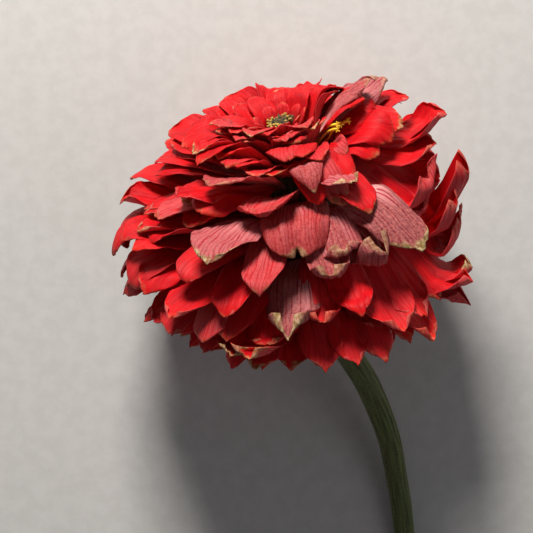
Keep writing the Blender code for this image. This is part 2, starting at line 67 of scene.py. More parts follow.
# ---------- the layers of the head: layer 0 is next to the bracts, layer 1 at the disc ----------
LAYER = np.array([0.0, 0.15, 0.30, 0.45, 0.60, 0.75, 0.88, 1.0])
BASE_R = np.array([7.0, 9.0, 10.0, 10.2, 9.6, 8.4, 6.6, 4.4])
BASE_Z = np.array([-16.5, -11.5, -5.0, 2.5, 10.5, 18.5, 25.5, 31.5])
SLOPE_OUT = np.radians([21.0, 26.0, 33.0, 38.0, 42.0, 47.0, 59.0, 80.0])
SLOPE_END = np.radians([-40.0, -51.0, -59.0, -62.0, -58.0, -40.0, -25.0, 20.0])
REACH = np.array([32.0, 37.0, 41.0, 41.0, 36.5, 29.5, 20.5, 10.2])
S_MAX, S_STEP, N_LAYER = 60.0, 0.5, 101


def through(x, xk, yk):
    """A smooth curve through the knots."""
    h = np.diff(xk)
    d = np.diff(yk)/h
    m = np.concatenate([[d[0]], (d[:-1]*h[1:]+d[1:]*h[:-1])/(h[1:]+h[:-1]), [d[-1]]])
    x = np.asarray(x, float)
    i = np.clip(np.searchsorted(xk, x, side="right")-1, 0, len(h)-1)
    t = (x-xk[i])/h[i]
    a, b = t*t, t*t*t
    return (2*b-3*a+1)*yk[i]+(b-2*a+t)*h[i]*m[i]+(3*a-2*b)*yk[i+1]+(b-a)*h[i]*m[i+1]


def layer_tables():
    """Radius, height, slope and spacing of every layer's fountain curve."""
    q = np.linspace(0, 1, N_LAYER)
    r0, z0, b0, b1, lr = (through(q, LAYER, k)[:, None] for k in (BASE_R, BASE_Z, SLOPE_OUT, SLOPE_END, REACH))
    s = np.arange(0, S_MAX+S_STEP/2, S_STEP)[None, :]
    t = s/lr
    beta = b0+(b1-b0)*np.where(t < 1, 0.35*t+0.65*t**2.2, 1+0.15*(1-np.exp(-(t-1)*3)))
    mid = (beta[:, 1:]+beta[:, :-1])/2
    zero = np.zeros((N_LAYER, 1))
    r = r0+np.concatenate([zero, np.cumsum(np.cos(mid)*S_STEP, 1)], 1)
    z = z0+np.concatenate([zero, np.cumsum(np.sin(mid)*S_STEP, 1)], 1)
    gap = -np.gradient(r, q, axis=0)*np.sin(beta)+np.gradient(z, q, axis=0)*np.cos(beta)
    return r, z, beta, gap


T_R, T_Z, T_BETA, T_GAP = layer_tables()


def layer_at(q, s, *tables):
    """The tables at layer q and distance s from the base, running straight on beyond their ends."""
    a = np.clip(q, 0, 1)*(N_LAYER-1)
    i = np.minimum(a.astype(int), N_LAYER-2)
    b = np.clip(s, 0, S_MAX)/S_STEP
    j = np.minimum(b.astype(int), T_R.shape[1]-2)
    fa, fb = a-i, b-j
    return [t[i, j]*(1-fa)*(1-fb)+t[i+1, j]*fa*(1-fb)+t[i, j+1]*(1-fa)*fb+t[i+1, j+1]*fa*fb for t in tables]


def ramp(x, a, b):
    t = np.clip((x-a)/(b-a), 0, 1)
    return t*t*(3-2*t)


def lay_down(p):
    """Head coordinates (mm) to world (mm): the petals sag, the head leans over and its underside presses flat."""
    x, y, z = p[..., 0], p[..., 1], p[..., 2]
    r = np.maximum(np.hypot(x, y), 1e-6)
    turn = np.abs((np.arctan2(y, x)-SPREAD_AT+math.pi) % (2*math.pi)-math.pi)
    stiff = np.cos(np.clip(turn/SPREAD_HALF, 0, 1)*math.pi/2)**2*ramp(z, -2, 14)
    out = 1+stiff*SPREAD_OUT*ramp(r, 12, 50)/r
    z = z+stiff*SPREAD_UP*ramp(r, 12, 46)
    w = np.clip((r-9.0)/(HEAD_RADIUS-9.0), 0, 1.3)
    x, y, z = x*out+SAG_SIDE*w, y*out, z-SAG_TILT*x*w
    world = x[..., None]*SIDE+y[..., None]*UNDER+z[..., None]*AXIS
    world[..., 2] += HEAD_HEIGHT
    up = world[..., 2]
    world[..., 2] = np.where(up > 12*PRESS, up, PRESS*np.log1p(np.exp(np.minimum(up, 12*PRESS)/PRESS)))-SETTLE
    return world+PLACE


def head_point(az, s, q):
    """World position (mm) at azimuth, distance along the petal and layer."""
    r, z, beta = layer_at(q, s, T_R, T_Z, T_BETA)
    back = np.minimum(s, 0)
    over = np.maximum(s-S_MAX, 0)
    low, high = np.minimum(q, 0)*24, np.maximum(q-1, 0)*40
    r = r+(back+over)*np.cos(beta)-(low+high)*np.sin(beta)
    z = z+(back+over)*np.sin(beta)+(low+high)*np.cos(beta)
    return lay_down(np.stack([r*np.cos(az), r*np.sin(az), z], -1))


# ---------- the florets ----------
# name: azimuth deg, layer at the tip, length mm, width mm, cup (+ edges up), roll (+ tip turns out, - under) deg,
#       twist deg, bend deg, pale (0 scarlet .. 1 withered pink and buff), tip (0 round, 1 pointed, -1 notched)
RAYS = {
    "left_01": (168, 0.49, 45, 13.0, -0.5, 0, 6, 0, 0.0, 0),
    "left_02": (167.5, 0.57, 39, 11.0, 0.4, 0, -4, 0, 0.0, 1),
    "left_03": (172, 0.33, 42, 12.5, 0.5, 0, 10, 0, 0.0, 0),
    "left_04": (180, 0.26, 40, 12.0, -0.4, 10, -8, -2, 0.15, 0),
    "left_05": (158, 0.76, 29, 12.5, 0.6, -10, 6, 0, 0.0, 0),
    "left_06": (140, 0.80, 28, 11.0, 0.5, 10, -8, 2, 0.0, 0),
    "left_07": (128, 0.86, 23, 10.0, -0.4, 0, 6, 0, 0.0, 1),
    "left_08": (116, 0.80, 28, 10.0, 0.5, 12, 0, 3, 0.0, 0),
    "left_09": (118, 0.895, 20, 9.5, 0.5, 8, -8, 0, 0.05, 0),
    "left_10": (204, 0.72, 31, 10.5, 0.7, -14, 8, 3, 0.35, 0),
    "left_11": (182, 0.86, 22, 10.5, 0.6, 8, -6, 0, 0.0, 0),
    "left_12": (214, 0.85, 23, 11.0, 0.7, -8, 8, -3, 0.0, 0),
    "left_13": (216, 0.78, 28, 11.5, -0.6, 10, -10, 3, 0.0, 0),
    "left_14": (208, 0.64, 35, 11.5, 0.6, 0, 8, -3, 0.0, 0),
    "left_15": (190, 0.58, 38, 12.0, -0.5, 8, -6, 3, 0.0, 0),
    "left_16": (187, 0.70, 31, 11.5, 0.5, 0, 10, 0, 0.0, 1),
    "left_17": (197, 0.41, 41, 12.0, 0.5, 0, -8, 2, 0.1, 0),
    "top_01": (66, 0.90, 23, 15.5, 0.9, -18, 0, 0, 0.0, -1),
    "top_02": (25, 0.92, 20, 11.0, 0.9, -14, -12, -6, 0.05, 0),
    "top_03": (96, 0.88, 23, 10.0, 0.6, 8, 8, 0, 0.0, 0),
    "top_04": (42, 0.84, 27, 9.0, 0.6, 10, 8, 4, 0.1, 0),
    "right_01": (17, 0.84, 32, 8.0, 0.5, 8, 8, -2, 0.0, 1),
    "right_02": (8, 0.87, 29, 10.0, -0.9, -16, 14, 2, 0.8, 0),
    "right_03": (356, 0.90, 24, 10.5, -0.8, 10, -12, 4, 0.65, 0),
    "right_04": (2, 0.80, 38, 10.5, 0.5, 8, -8, 0, 0.0, 0),
    "right_05": (353, 0.755, 40, 8.5, 0.6, 0, 6, 0, 0.0, 1),
    "right_06": (341, 0.845, 28, 10.0, 0.5, -10, 10, 0, 0.0, 0),
    "right_07": (341, 0.77, 35, 12.5, 1.0, -18, 6, 0, 0.1, 0),
    "right_08": (350, 0.645, 40, 12.8, 0.5, -12, 6, 0, 0.0, 0),
    "right_09": (343, 0.46, 43, 11.5, -0.7, 8, -8, 3, 0.1, 0),
    "right_10": (336, 0.34, 40, 8.4, 0.5, 10, 9, 0, 0.3, 1),
    "flank_01": (314, 0.60, 40, 13.0, -0.8, 10, 10, -4, 0.8, 0),
    "flank_02": (296, 0.78, 28, 10.0, -0.6, 12, -8, 2, 0.65, 0),
    "flank_03": (283, 0.80, 28, 7.5, -0.5, 8, 4, 0, 0.6, 1),
    "flank_04": (303, 0.71, 32, 10.0, 0.6, 0, -8, 0, 0.0, 0),
    "flank_05": (287, 0.63, 35, 10.0, -0.7, 12, 8, 0, 0.7, 0),
    "flank_06": (295, 0.54, 39, 10.0, -0.6, 14, 10, 3, 0.75, 1),
    "flank_07": (279, 0.59, 37, 10.0, 0.7, -12, -8, 0, 0.7, 0),
    "flank_08": (297, 0.42, 41, 12.5, 0.5, 8, 4, 0, 0.0, 0),
    "flank_09": (307, 0.38, 41, 11.5, 0.6, 8, -8, 0, 0.0, 0),
    "flank_10": (286, 0.505, 40, 10.5, -0.5, 0, 8, 0, 0.0, 0),
    "flank_11": (273, 0.47, 40, 10.5, 0.6, 0, -6, 0, 0.1, 0),
    "front_01": (238, 0.78, 28, 12.5, -0.6, 10, 8, -3, 0.55, 0),
    "front_02": (240, 0.585, 38, 12.5, -0.7, 8, -6, 0, 0.65, 0),
    "front_03": (256, 0.68, 32, 11.5, 0.7, -8, 10, 2, 0.3, 0),
    "front_04": (270, 0.66, 34, 14.5, -0.8, -10, -6, 0, 0.5, -1),
    "front_05": (255, 0.53, 39, 12.0, 0.5, 8, 6, 0, 0.35, 0),
    "front_06": (259, 0.405, 41, 11.5, -0.5, 0, 9, 3, 0.8, 1),
    "front_07": (227, 0.44, 41, 13.0, 0.6, 8, 8, -3, 0.0, 0),
    "front_08": (228, 0.56, 38, 10.0, 0.6, -8, -8, 0, 0.1, 0),
    "front_09": (243, 0.46, 40, 12.5, 0.7, 10, 4, 0, 0.0, 0),
    "front_10": (248, 0.33, 41, 12.0, 0.5, 8, -6, 0, 0.0, 0),
    "front_11": (232, 0.33, 40, 11.0, -0.6, 14, 10, 0, 0.25, 0),
    "front_12": (216, 0.32, 40, 11.0, 0.5, 0, -8, 0, 0.1, 0),
}
# florets that are joined at the root by a scrap of receptacle
PAIRS = {
    "left_pair_1": ("left_03", "left_17"), "left_pair_2": ("left_04", "front_12"), "left_pair_3": ("left_15", "left_14"),
    "left_pair_4": ("left_16", "left_10"), "left_pair_5": ("left_13", "front_01"), "left_pair_6": ("left_11", "left_12"),
    "top_pair_1": ("left_06", "left_08"), "top_pair_2": ("right_01", "top_04"),
    "front_pair_1": ("front_07", "front_09"), "front_pair_2": ("front_11", "front_10"), "front_pair_3": ("front_08", "front_02"),
    "flank_pair_1": ("flank_11", "flank_08"), "flank_pair_2": ("right_09", "flank_09"), "flank_pair_3": ("flank_05", "flank_01"),
}
# arcs of smaller or hidden florets that share a base: first azimuth, last azimuth, how many, layer, length, width, roll, pale
FANS = {
    "inner_fan_1": (188, 293, 6, 0.885, 17.0, 7.0, 6, 0.25),
    "inner_fan_2": (196, 300, 5, 0.93, 11.9, 5.6, -14, 0.15),
    "inner_fan_3": (46, 168, 5, 0.93, 13.0, 5.8, -10, 0.05),
    "disc_fan": (0, 320, 9, 1.0, 5.9, 3.0, -20, 0.1),
    "mid_fan_1": (233, 292, 4, 0.835, 20.7, 8.5, 0, 0.15),
    "low_fan_1": (200, 290, 5, 0.20, 38.0, 10.0, 6, 0.1),
    "low_fan_2": (292, 342, 3, 0.26, 33.0, 10.0, 4, 0.15),
    "low_fan_3": (190, 296, 6, 0.07, 33.0, 10.0, 4, 0.15),
    "back_fan_1": (10, 172, 9, 0.09, 33.0, 11.0, 0, 0.1),
    "back_fan_2": (22, 160, 8, 0.22, 37.0, 11.5, 0, 0.1),
    "back_fan_3": (14, 150, 7, 0.35, 39.0, 11.5, 4, 0.0),
    "back_fan_4": (24, 152, 7, 0.47, 38.9, 11.5, 4, 0.0),
    "back_fan_5": (30, 150, 7, 0.59, 35.5, 11.5, 6, 0.0),
    "back_fan_6": (38, 136, 5, 0.71, 31.1, 11.0, 6, 0.05),
}
TASSEL = dict(azimuth=330, layer=0.87, length=16.0, strands=4, width=0.8)   # yellow disc florets shown on the opened flank

# extra clearance between pieces that crowd each other, mm
CROWDED = {
    ("disc_fan", "inner_fan_2"): 0.6,
    ("disc_fan", "inner_fan_3"): 0.6,
    ("disc_tassel", "inner_fan_1"): 0.4,
    ("disc_tassel", "inner_fan_2"): 0.2,
    ("inner_fan_1", "inner_fan_2"): 0.3,
    ("inner_fan_1", "mid_fan_1"): 0.2,
    ("inner_fan_3", "ray_top_02"): 0.6,
    ("ray_flank_pair_2", "ray_right_08"): 0.6,
    ("ray_right_05", "ray_right_08"): 0.3,
    ("ray_left_02", "ray_left_pair_3"): 0.25,
    ("back_fan_4", "ray_left_01"): 0.3,
    ("ray_flank_02", "ray_flank_03"): 0.85,
    ("ray_flank_06", "ray_flank_10"): 0.1,
    ("ray_front_06", "ray_front_pair_2"): 0.5,
    ("ray_left_09", "ray_top_01"): 0.2,
}

STATIONS = np.arange(0.0, 52.0, 4.0)


def half_width(width, v):
    """Half the blade's width at share v of its length: a claw, a broad middle, a rounded end."""
    rise = np.sin(np.clip(v/0.76, 0, 1)*math.pi/2)**1.3
    return np.maximum(width/2*(0.2+0.8*rise)*(1-0.30*np.clip((v-0.76)/0.24, 0, 1)**2.2), 0.4)


def florets():
    out = []
    joined = {one: pair for pair, both in PAIRS.items() for one in both}
    for name, row in RAYS.items():
        out.append(dict(zip(("az", "q", "length", "width", "cup", "roll", "twist", "bend", "pale", "tip"), row),
                        node="ray_"+joined.get(name, name), fan=False))
    rng = np.random.default_rng(31)
    for name, (first, last, count, q, length, width, roll, pale) in FANS.items():
        last += 360*(last <= first)
        for k in range(count):
            jitter = rng.uniform(-1, 1, 6)
            out.append(dict(az=first+(last-first)*(k+0.25*jitter[0]*(0 < k < count-1))/(count-1), q=q, length=length*(1+0.05*jitter[1]),
                            width=width*(1+0.06*jitter[2]), cup=0.4 if k % 2 else -0.4, roll=roll,
                            twist=6*jitter[4], bend=1.5*jitter[5], pale=pale, tip=0, node=name, fan=True))
    t = TASSEL
    for k in range(t["strands"]):
        out.append(dict(az=t["azimuth"]+(k-(t["strands"]-1)/2)*6.5, q=t["layer"], length=t["length"]*(1-0.06*(k % 3)), width=t["width"],
                        cup=0, roll=0, twist=0, bend=0, pale=0, tip=0, node="disc_tassel", fan=True))
    for i, f in enumerate(out):
        f["az"] = math.radians(f["az"])
        f["bend"] = math.radians(f["bend"])
        f["seed"] = i
    settle(out)
    return out


def stack(wish, need, meets, low, high):
    """Layers nearest to the wished ones, in their order, where each that meets another lies at least need above it."""
    n = len(wish)
    top, bottom = np.full(n, high), np.full(n, low)
    for i in range(n-2, -1, -1):
        j = np.flatnonzero(meets[i, i+1:])+i+1
        top[i] = min([high, *(top[j]-need[i, j])])
    for j in range(1, n):
        i = np.flatnonzero(meets[j, :j])
        bottom[j] = max([low, *(bottom[i]+need[i, j])])
    rising, falling = np.zeros(n), np.zeros(n)
    for j in range(n):
        i = np.flatnonzero(meets[j, :j])
        rising[j] = min(max([wish[j], bottom[j], *(rising[i]+need[i, j])]), top[j])
    for i in range(n-1, -1, -1):
        j = np.flatnonzero(meets[i, i+1:])+i+1
        falling[i] = max(min([wish[i], top[i], *(falling[j]-need[i, j])]), bottom[i])
    return (rising+falling)/2, top-bottom


def settle(fl):
    """Spreads the layers of florets that share an azimuth, so that each lies clear above the one below."""
    n, m = len(fl), len(STATIONS)
    az = np.array([f["az"] for f in fl])
    length = np.array([f["length"] for f in fl])
    wish = np.array([f["q"]+0.004*(f["seed"] % 2)*f["fan"] for f in fl])
    lift = np.array([0.2+abs(f["cup"])*f["width"]*0.05+math.sin(math.radians(abs(f["twist"])))*f["width"]*0.25
                     + math.tan(math.radians(abs(f["roll"])))*f["length"]*0.02 for f in fl])
    order = np.argsort(wish+1e-6*np.arange(n))
    extra = np.zeros((n, n))
    for (a, b), more in CROWDED.items():
        ia, ib = ([i for i in range(n) if fl[i]["node"] == c] for c in (a, b))
        extra[np.ix_(ia, ib)] = extra[np.ix_(ib, ia)] = more
    turn = np.abs((az[:, None]-az[None, :]+math.pi) % (2*math.pi)-math.pi)
    q = np.repeat(wish[:, None], m, 1)
    units = {}
    for i, f in enumerate(fl):
        units.setdefault(f["node"], []).append(i)
    units = [np.array(v) for v in units.values()]
    units.sort(key=lambda g: wish[g].mean())
    spans = []
    for g in units:
        near = az[g[0]]+(az[g]-az[g[0]]+math.pi) % (2*math.pi)-math.pi if len(g) < 3 else az[g]
        spans.append((near.min()-0.14, near.max()+0.14))
    root_meets = np.array([[a != b and ((c-p) % (2*math.pi) < d-p or (p-c) % (2*math.pi) < e-c)
                            for b, (c, e) in enumerate(spans)] for a, (p, d) in enumerate(spans)])
    for turnround in range(3):
        gap, = layer_at(q, np.repeat(STATIONS[None, :], n, 0), T_GAP)
        radius, = layer_at(q, np.repeat(STATIONS[None, :], n, 0), T_R)
        for k in range(m):
            if k == 0:
                mean_gap = np.array([gap[g, 0].mean() for g in units])
                need = 0.75/(0.5*(mean_gap[:, None]+mean_gap[None, :]))
                laid, room = stack(np.array([q[g, 0].mean() for g in units]), need, root_meets, 0.02, 1.0)
                for g, value in zip(units, laid):
                    q[g, 0] = value
                continue
            half = np.array([half_width(f["width"], min(STATIONS[k]/f["length"], 1.0)) for f in fl])
            wide = np.arctan2(half+0.4, np.maximum(radius[:, k], 3.0))
            here = length+3.0 >= STATIONS[k]
            meets = (turn < wide[:, None]+wide[None, :]) & here[:, None] & here[None, :]
            share = min(1.0, STATIONS[k]/14.0)
            need = (0.75+0.25*share+extra+share*(lift[:, None]+lift[None, :]))/(0.5*(gap[:, None, k]+gap[None, :, k]))
            laid, room = stack(q[order, k], need[np.ix_(order, order)], meets[np.ix_(order, order)], 0.02, 1.0)
            q[order, k] = laid
        if turnround < 2:
            q[:, 1:-1] = 0.4*q[:, 1:-1]+0.3*(q[:, :-2]+q[:, 2:])
    for i, f in enumerate(fl):
        f["layers"] = q[i]
    return fl


def blade(f, u, v):
    """World points (mm) of a floret's blade at u across (-1..1) and v along (0..1)."""
    end = f["length"]*(1-(0.2 if f["tip"] <= 0 else 0.3)*np.abs(u)**2.4)
    if f["tip"] < 0:
        end = end-0.11*f["length"]*np.exp(-(u/0.22)**2)
    s = end*v
    half = half_width(f["width"], v)
    if f["tip"] > 0:
        half = half*(1-0.45*ramp(v, 0.62, 1.0))
    turned = math.radians(f["twist"])*ramp(v, 0.15, 1.0)
    across = u*half*np.cos(turned)
    h = 0.2*f["cup"]*half*(1.5*u*u-0.5)*ramp(v, 0.05, 0.6)+u*half*np.sin(turned)
    h = h+0.5*math.tan(math.radians(f["roll"]))*0.35*f["length"]*np.clip((v-0.65)/0.35, 0, 1)**2
    q = np.interp(s, STATIONS, f["layers"])
    r, gap = layer_at(q, s, T_R, T_GAP)
    return head_point(f["az"]+f["bend"]*v**1.6+across/np.maximum(r, 4.0), s, q+h/np.maximum(gap, 8.0))


# ---------- how each floret has dried, curled and creased ----------
# curl: how far the tip turns, deg (+ outwards, - under), from this share of its length; roll: how far each margin rolls, deg;
# wave, pleat: mm; broad: times the width; lift: mm that it hangs out in front; brown, cream: 0..1 of the tip and of the margin
LOOKS = {
    "flank_07": dict(lift=2.2, broad=1.1, curl=-12, roll=(-20, 12), wave=0.9, pleat=0.4, brown=0.8, cream=0.6),
    "flank_06": dict(lift=1.4, broad=1.1, curl=-20, roll=(-14, 20), wave=0.9, pleat=0.4, brown=0.8, cream=0.5),
    "front_05": dict(broad=0.92, roll=(-15, -10)),
    "front_09": dict(broad=0.98, roll=(-15, -5)),
    "flank_11": dict(broad=0.92, roll=(-12, -12)),
    "flank_10": dict(broad=1.0, roll=(-12, -12)),
    "top_01": dict(curl=-60, start=0.55, roll=(25, 25), wave=1.0, pleat=0.5),
    "right_02": dict(curl=-25, start=0.6, roll=(-70, 60), wave=1.0, pleat=0.46, brown=0.5, cream=0.5),
    "right_03": dict(curl=15, start=0.7, roll=(-30, -60), wave=1.1, pleat=0.46, brown=0.7, cream=0.5),
    "right_07": dict(curl=-28, start=0.7, roll=(34, 16), wave=0.7, pleat=0.46, brown=0.3),
    "right_04": dict(curl=10, start=0.8, roll=(15, -20), wave=0.7, pleat=0.46),
    "right_08": dict(curl=-25, start=0.8, roll=(-20, 20), wave=1.0, pleat=0.46),
    "flank_01": dict(lift=1.0, curl=20, start=0.75, roll=(-30, -20), wave=1.2, pleat=0.5, brown=0.8, cream=0.9),
    "flank_02": dict(curl=25, start=0.7, roll=(-25, 20), wave=1.0, pleat=0.46, brown=0.5, cream=0.8),
    "front_01": dict(curl=20, start=0.75, roll=(20, 20), wave=1.0, pleat=0.46, brown=0.7, cream=0.3),
    "front_02": dict(lift=1.2, curl=15, start=0.8, roll=(10, 25), wave=1.0, pleat=0.46, brown=0.5, cream=0.9),
    "front_04": dict(curl=-35, start=0.7, roll=(15, -20), wave=1.1, pleat=0.46, brown=0.8, cream=0.6),
    "front_06": dict(lift=3.4, broad=1.25, curl=10, start=0.8, roll=(-10, 10), wave=1.1, pleat=0.46, brown=0.8, cream=0.8),
}
ROOT = 1.6          # mm that a claw runs back into the receptacle
THICK_MID, THICK_RIM = 0.30, 0.13


def ripple(rng, x, count, octaves=3):
    """A smooth uneven wave of about unit height."""
    total = 0.0
    for k in range(octaves):
        total = total+rng.uniform(0.5, 1.0)/(k+1)*np.sin(2*math.pi*(count*(k+1)*rng.uniform(0.8, 1.2)*x+rng.random()))
    return total*0.6


def normal_out(az, s, q):
    """Unit direction, out of the head, across a layer."""
    e = 0.15
    along = head_point(az, s+e, q)-head_point(az, s-e, q)
    around = head_point(az+0.01, s, q)-head_point(az-0.01, s, q)
    n = np.cross(along, around)
    return n/np.maximum(np.linalg.norm(n, axis=-1, keepdims=True), 1e-9)


def petal_surface(f, name, columns, rows):
    """Middle surface (rows+1, columns+1, 3) in mm of a floret with its creases and curls, with its u, v and drawn thickness."""
    rng = np.random.default_rng(900+f["seed"])
    look = LOOKS.get(name, {})
    size = f["length"]/40.0
    curl = math.radians(look.get("curl", rng.uniform(-44, 4) if abs(f["q"]-0.6) < 0.33 else rng.uniform(-24, 8)))
    start = look.get("start", rng.uniform(0.55, 0.75))
    roll = np.radians(look.get("roll", (rng.uniform(-30, 10), rng.uniform(-30, 10))))
    wave = look.get("wave", rng.uniform(0.45, 0.95))*min(1.0, f["width"]/10)
    pleat = look.get("pleat", rng.uniform(0.16, 0.34))*min(1.0, f["width"]/9)
    u = np.sin(np.linspace(-1, 1, columns+1)*math.pi/2)*0.35+np.linspace(-1, 1, columns+1)*0.65
    v = np.linspace(0, 1, rows+1)
    v = 0.55*v+0.45*np.sin(v*math.pi/2)
    u, v = np.meshgrid(u, v)
    end = f["length"]*(1-(0.07 if f["tip"] <= 0 else 0.12)*np.abs(u)**2)
    if f["tip"] < 0:
        end = end-0.10*f["length"]*np.exp(-(u/0.26)**2)
    end = end*(1+0.016*ripple(rng, u/2, 1.6))-0.8*size*rng.uniform(0, 1)*np.exp(-((u-rng.uniform(-0.6, 0.6))/0.13)**2)
    nominal = -ROOT+(end+ROOT)*v
    share = np.clip(nominal/end, 0, 1)
    rise = np.sin(np.clip(share/0.68, 0, 1)*math.pi/2)**1.2
    round_end = (1-np.clip((share-0.60)/0.40, 0, 1)**3.0)**0.5
    half = f["width"]/2*look.get("broad", 1.16 if f["fan"] else 1.22)*(0.20+0.80*rise)*(0.26+0.74*round_end)*(1+0.04*ripple(rng, share, 1.3))
    half = np.maximum(half, 0.35)
    if f["tip"] > 0:
        half = half*(1-0.15*ramp(share, 0.55, 1.0))
    # margins roll: the blade turns further the nearer it is to its rim
    edge = np.where(u < 0, roll[0], roll[1])*ramp(share, 0.2, 0.75)
    turn = edge*np.clip((np.abs(u)-0.45)/0.55, 0, 1)**1.5
    middle = columns//2
    step = (u[:, 1:]-u[:, :-1])
    cos_mid, sin_mid = (np.cos(turn)[:, 1:]+np.cos(turn)[:, :-1])/2, (np.sin(turn)[:, 1:]+np.sin(turn)[:, :-1])/2
    side_mid = np.sign(u[:, 1:]+u[:, :-1])
    zero = np.zeros((rows+1, 1))
    x = np.concatenate([zero, np.cumsum(cos_mid*step, 1)], 1)*half
    h_roll = np.concatenate([zero, np.cumsum(sin_mid*side_mid*step, 1)], 1)*half
    x, h_roll = x-x[:, middle:middle+1], h_roll-h_roll[:, middle:middle+1]
    # the tip curls
    bend = curl*np.clip((share-start)/(1-start), 0, 1)**1.4
    ds = np.diff(nominal, axis=0)
    cos_b, sin_b = (np.cos(bend)[1:]+np.cos(bend)[:-1])/2, (np.sin(bend)[1:]+np.sin(bend)[:-1])/2
    s = nominal[:1]+np.concatenate([np.zeros((1, columns+1)), np.cumsum(cos_b*ds, 0)], 0)
    h_curl = np.concatenate([np.zeros((1, columns+1)), np.cumsum(sin_b*ds, 0)], 0)
    # creases and waves
    free = ramp(share, 0.12, 0.5)
    mm = u*half
    lean = 0.25*ripple(rng, share, 0.6, 2)
    creases = pleat*free*(ripple(rng, (mm/f["width"])+0.05*lean, rng.uniform(1.6, 2.4), 2)*0.7+0.35*np.sin(2*math.pi*(mm/1.9+lean)))
    waves = wave*np.abs(u)**2.5*ramp(share, 0.25, 0.7)*(ripple(rng, share+0.1*np.sign(u), rng.uniform(1.5, 2.6), 2)+0.4*ripple(rng, share, 5.0, 1))
    buckle = 0.35*size*free*ripple(rng, share+0.2*u, rng.uniform(1.0, 1.8), 2)*(1-0.5*u*u)
    h = h_roll+h_curl+creases+waves+buckle*0.6
    turned = math.radians(f["twist"])*ramp(share, 0.15, 1.0)
    across = x*np.cos(turned)
    h_cad = 0.2*f["cup"]*half*(1.5*u*u-0.5)*ramp(share, 0.05, 0.6)+x*np.sin(turned)
    h_cad = h_cad+0.5*math.tan(math.radians(f["roll"]))*0.35*f["length"]*np.clip((share-0.65)/0.35, 0, 1)**2
    layers = f["layers"].copy()
    layers[1:-1] = 0.5*layers[1:-1]+0.25*(layers[:-2]+layers[2:])
    q = np.interp(np.clip(s[:, middle:middle+1], 0, None), STATIONS, layers)*np.ones_like(s)
    r, = layer_at(q, np.clip(s, 0, S_MAX), T_R)
    az = f["az"]+f["bend"]*share**1.6+across/np.maximum(r, 4.0)
    point = head_point(az, s, q)+normal_out(az, s, q)*(h+h_cad+look.get("lift", 0.0)*ramp(share, 0.2, 0.7))[..., None]
    rim = np.maximum(np.abs(u)**4, np.clip((v-0.85)/0.15, 0, 1)**2)
    return point, u*half, v, share, THICK_MID+(THICK_RIM-THICK_MID)*rim


def grid_normals(p):
    dv, du = np.gradient(p, axis=0), np.gradient(p, axis=1)
    n = np.cross(dv, du)
    return n/np.maximum(np.linalg.norm(n, axis=-1, keepdims=True), 1e-12)


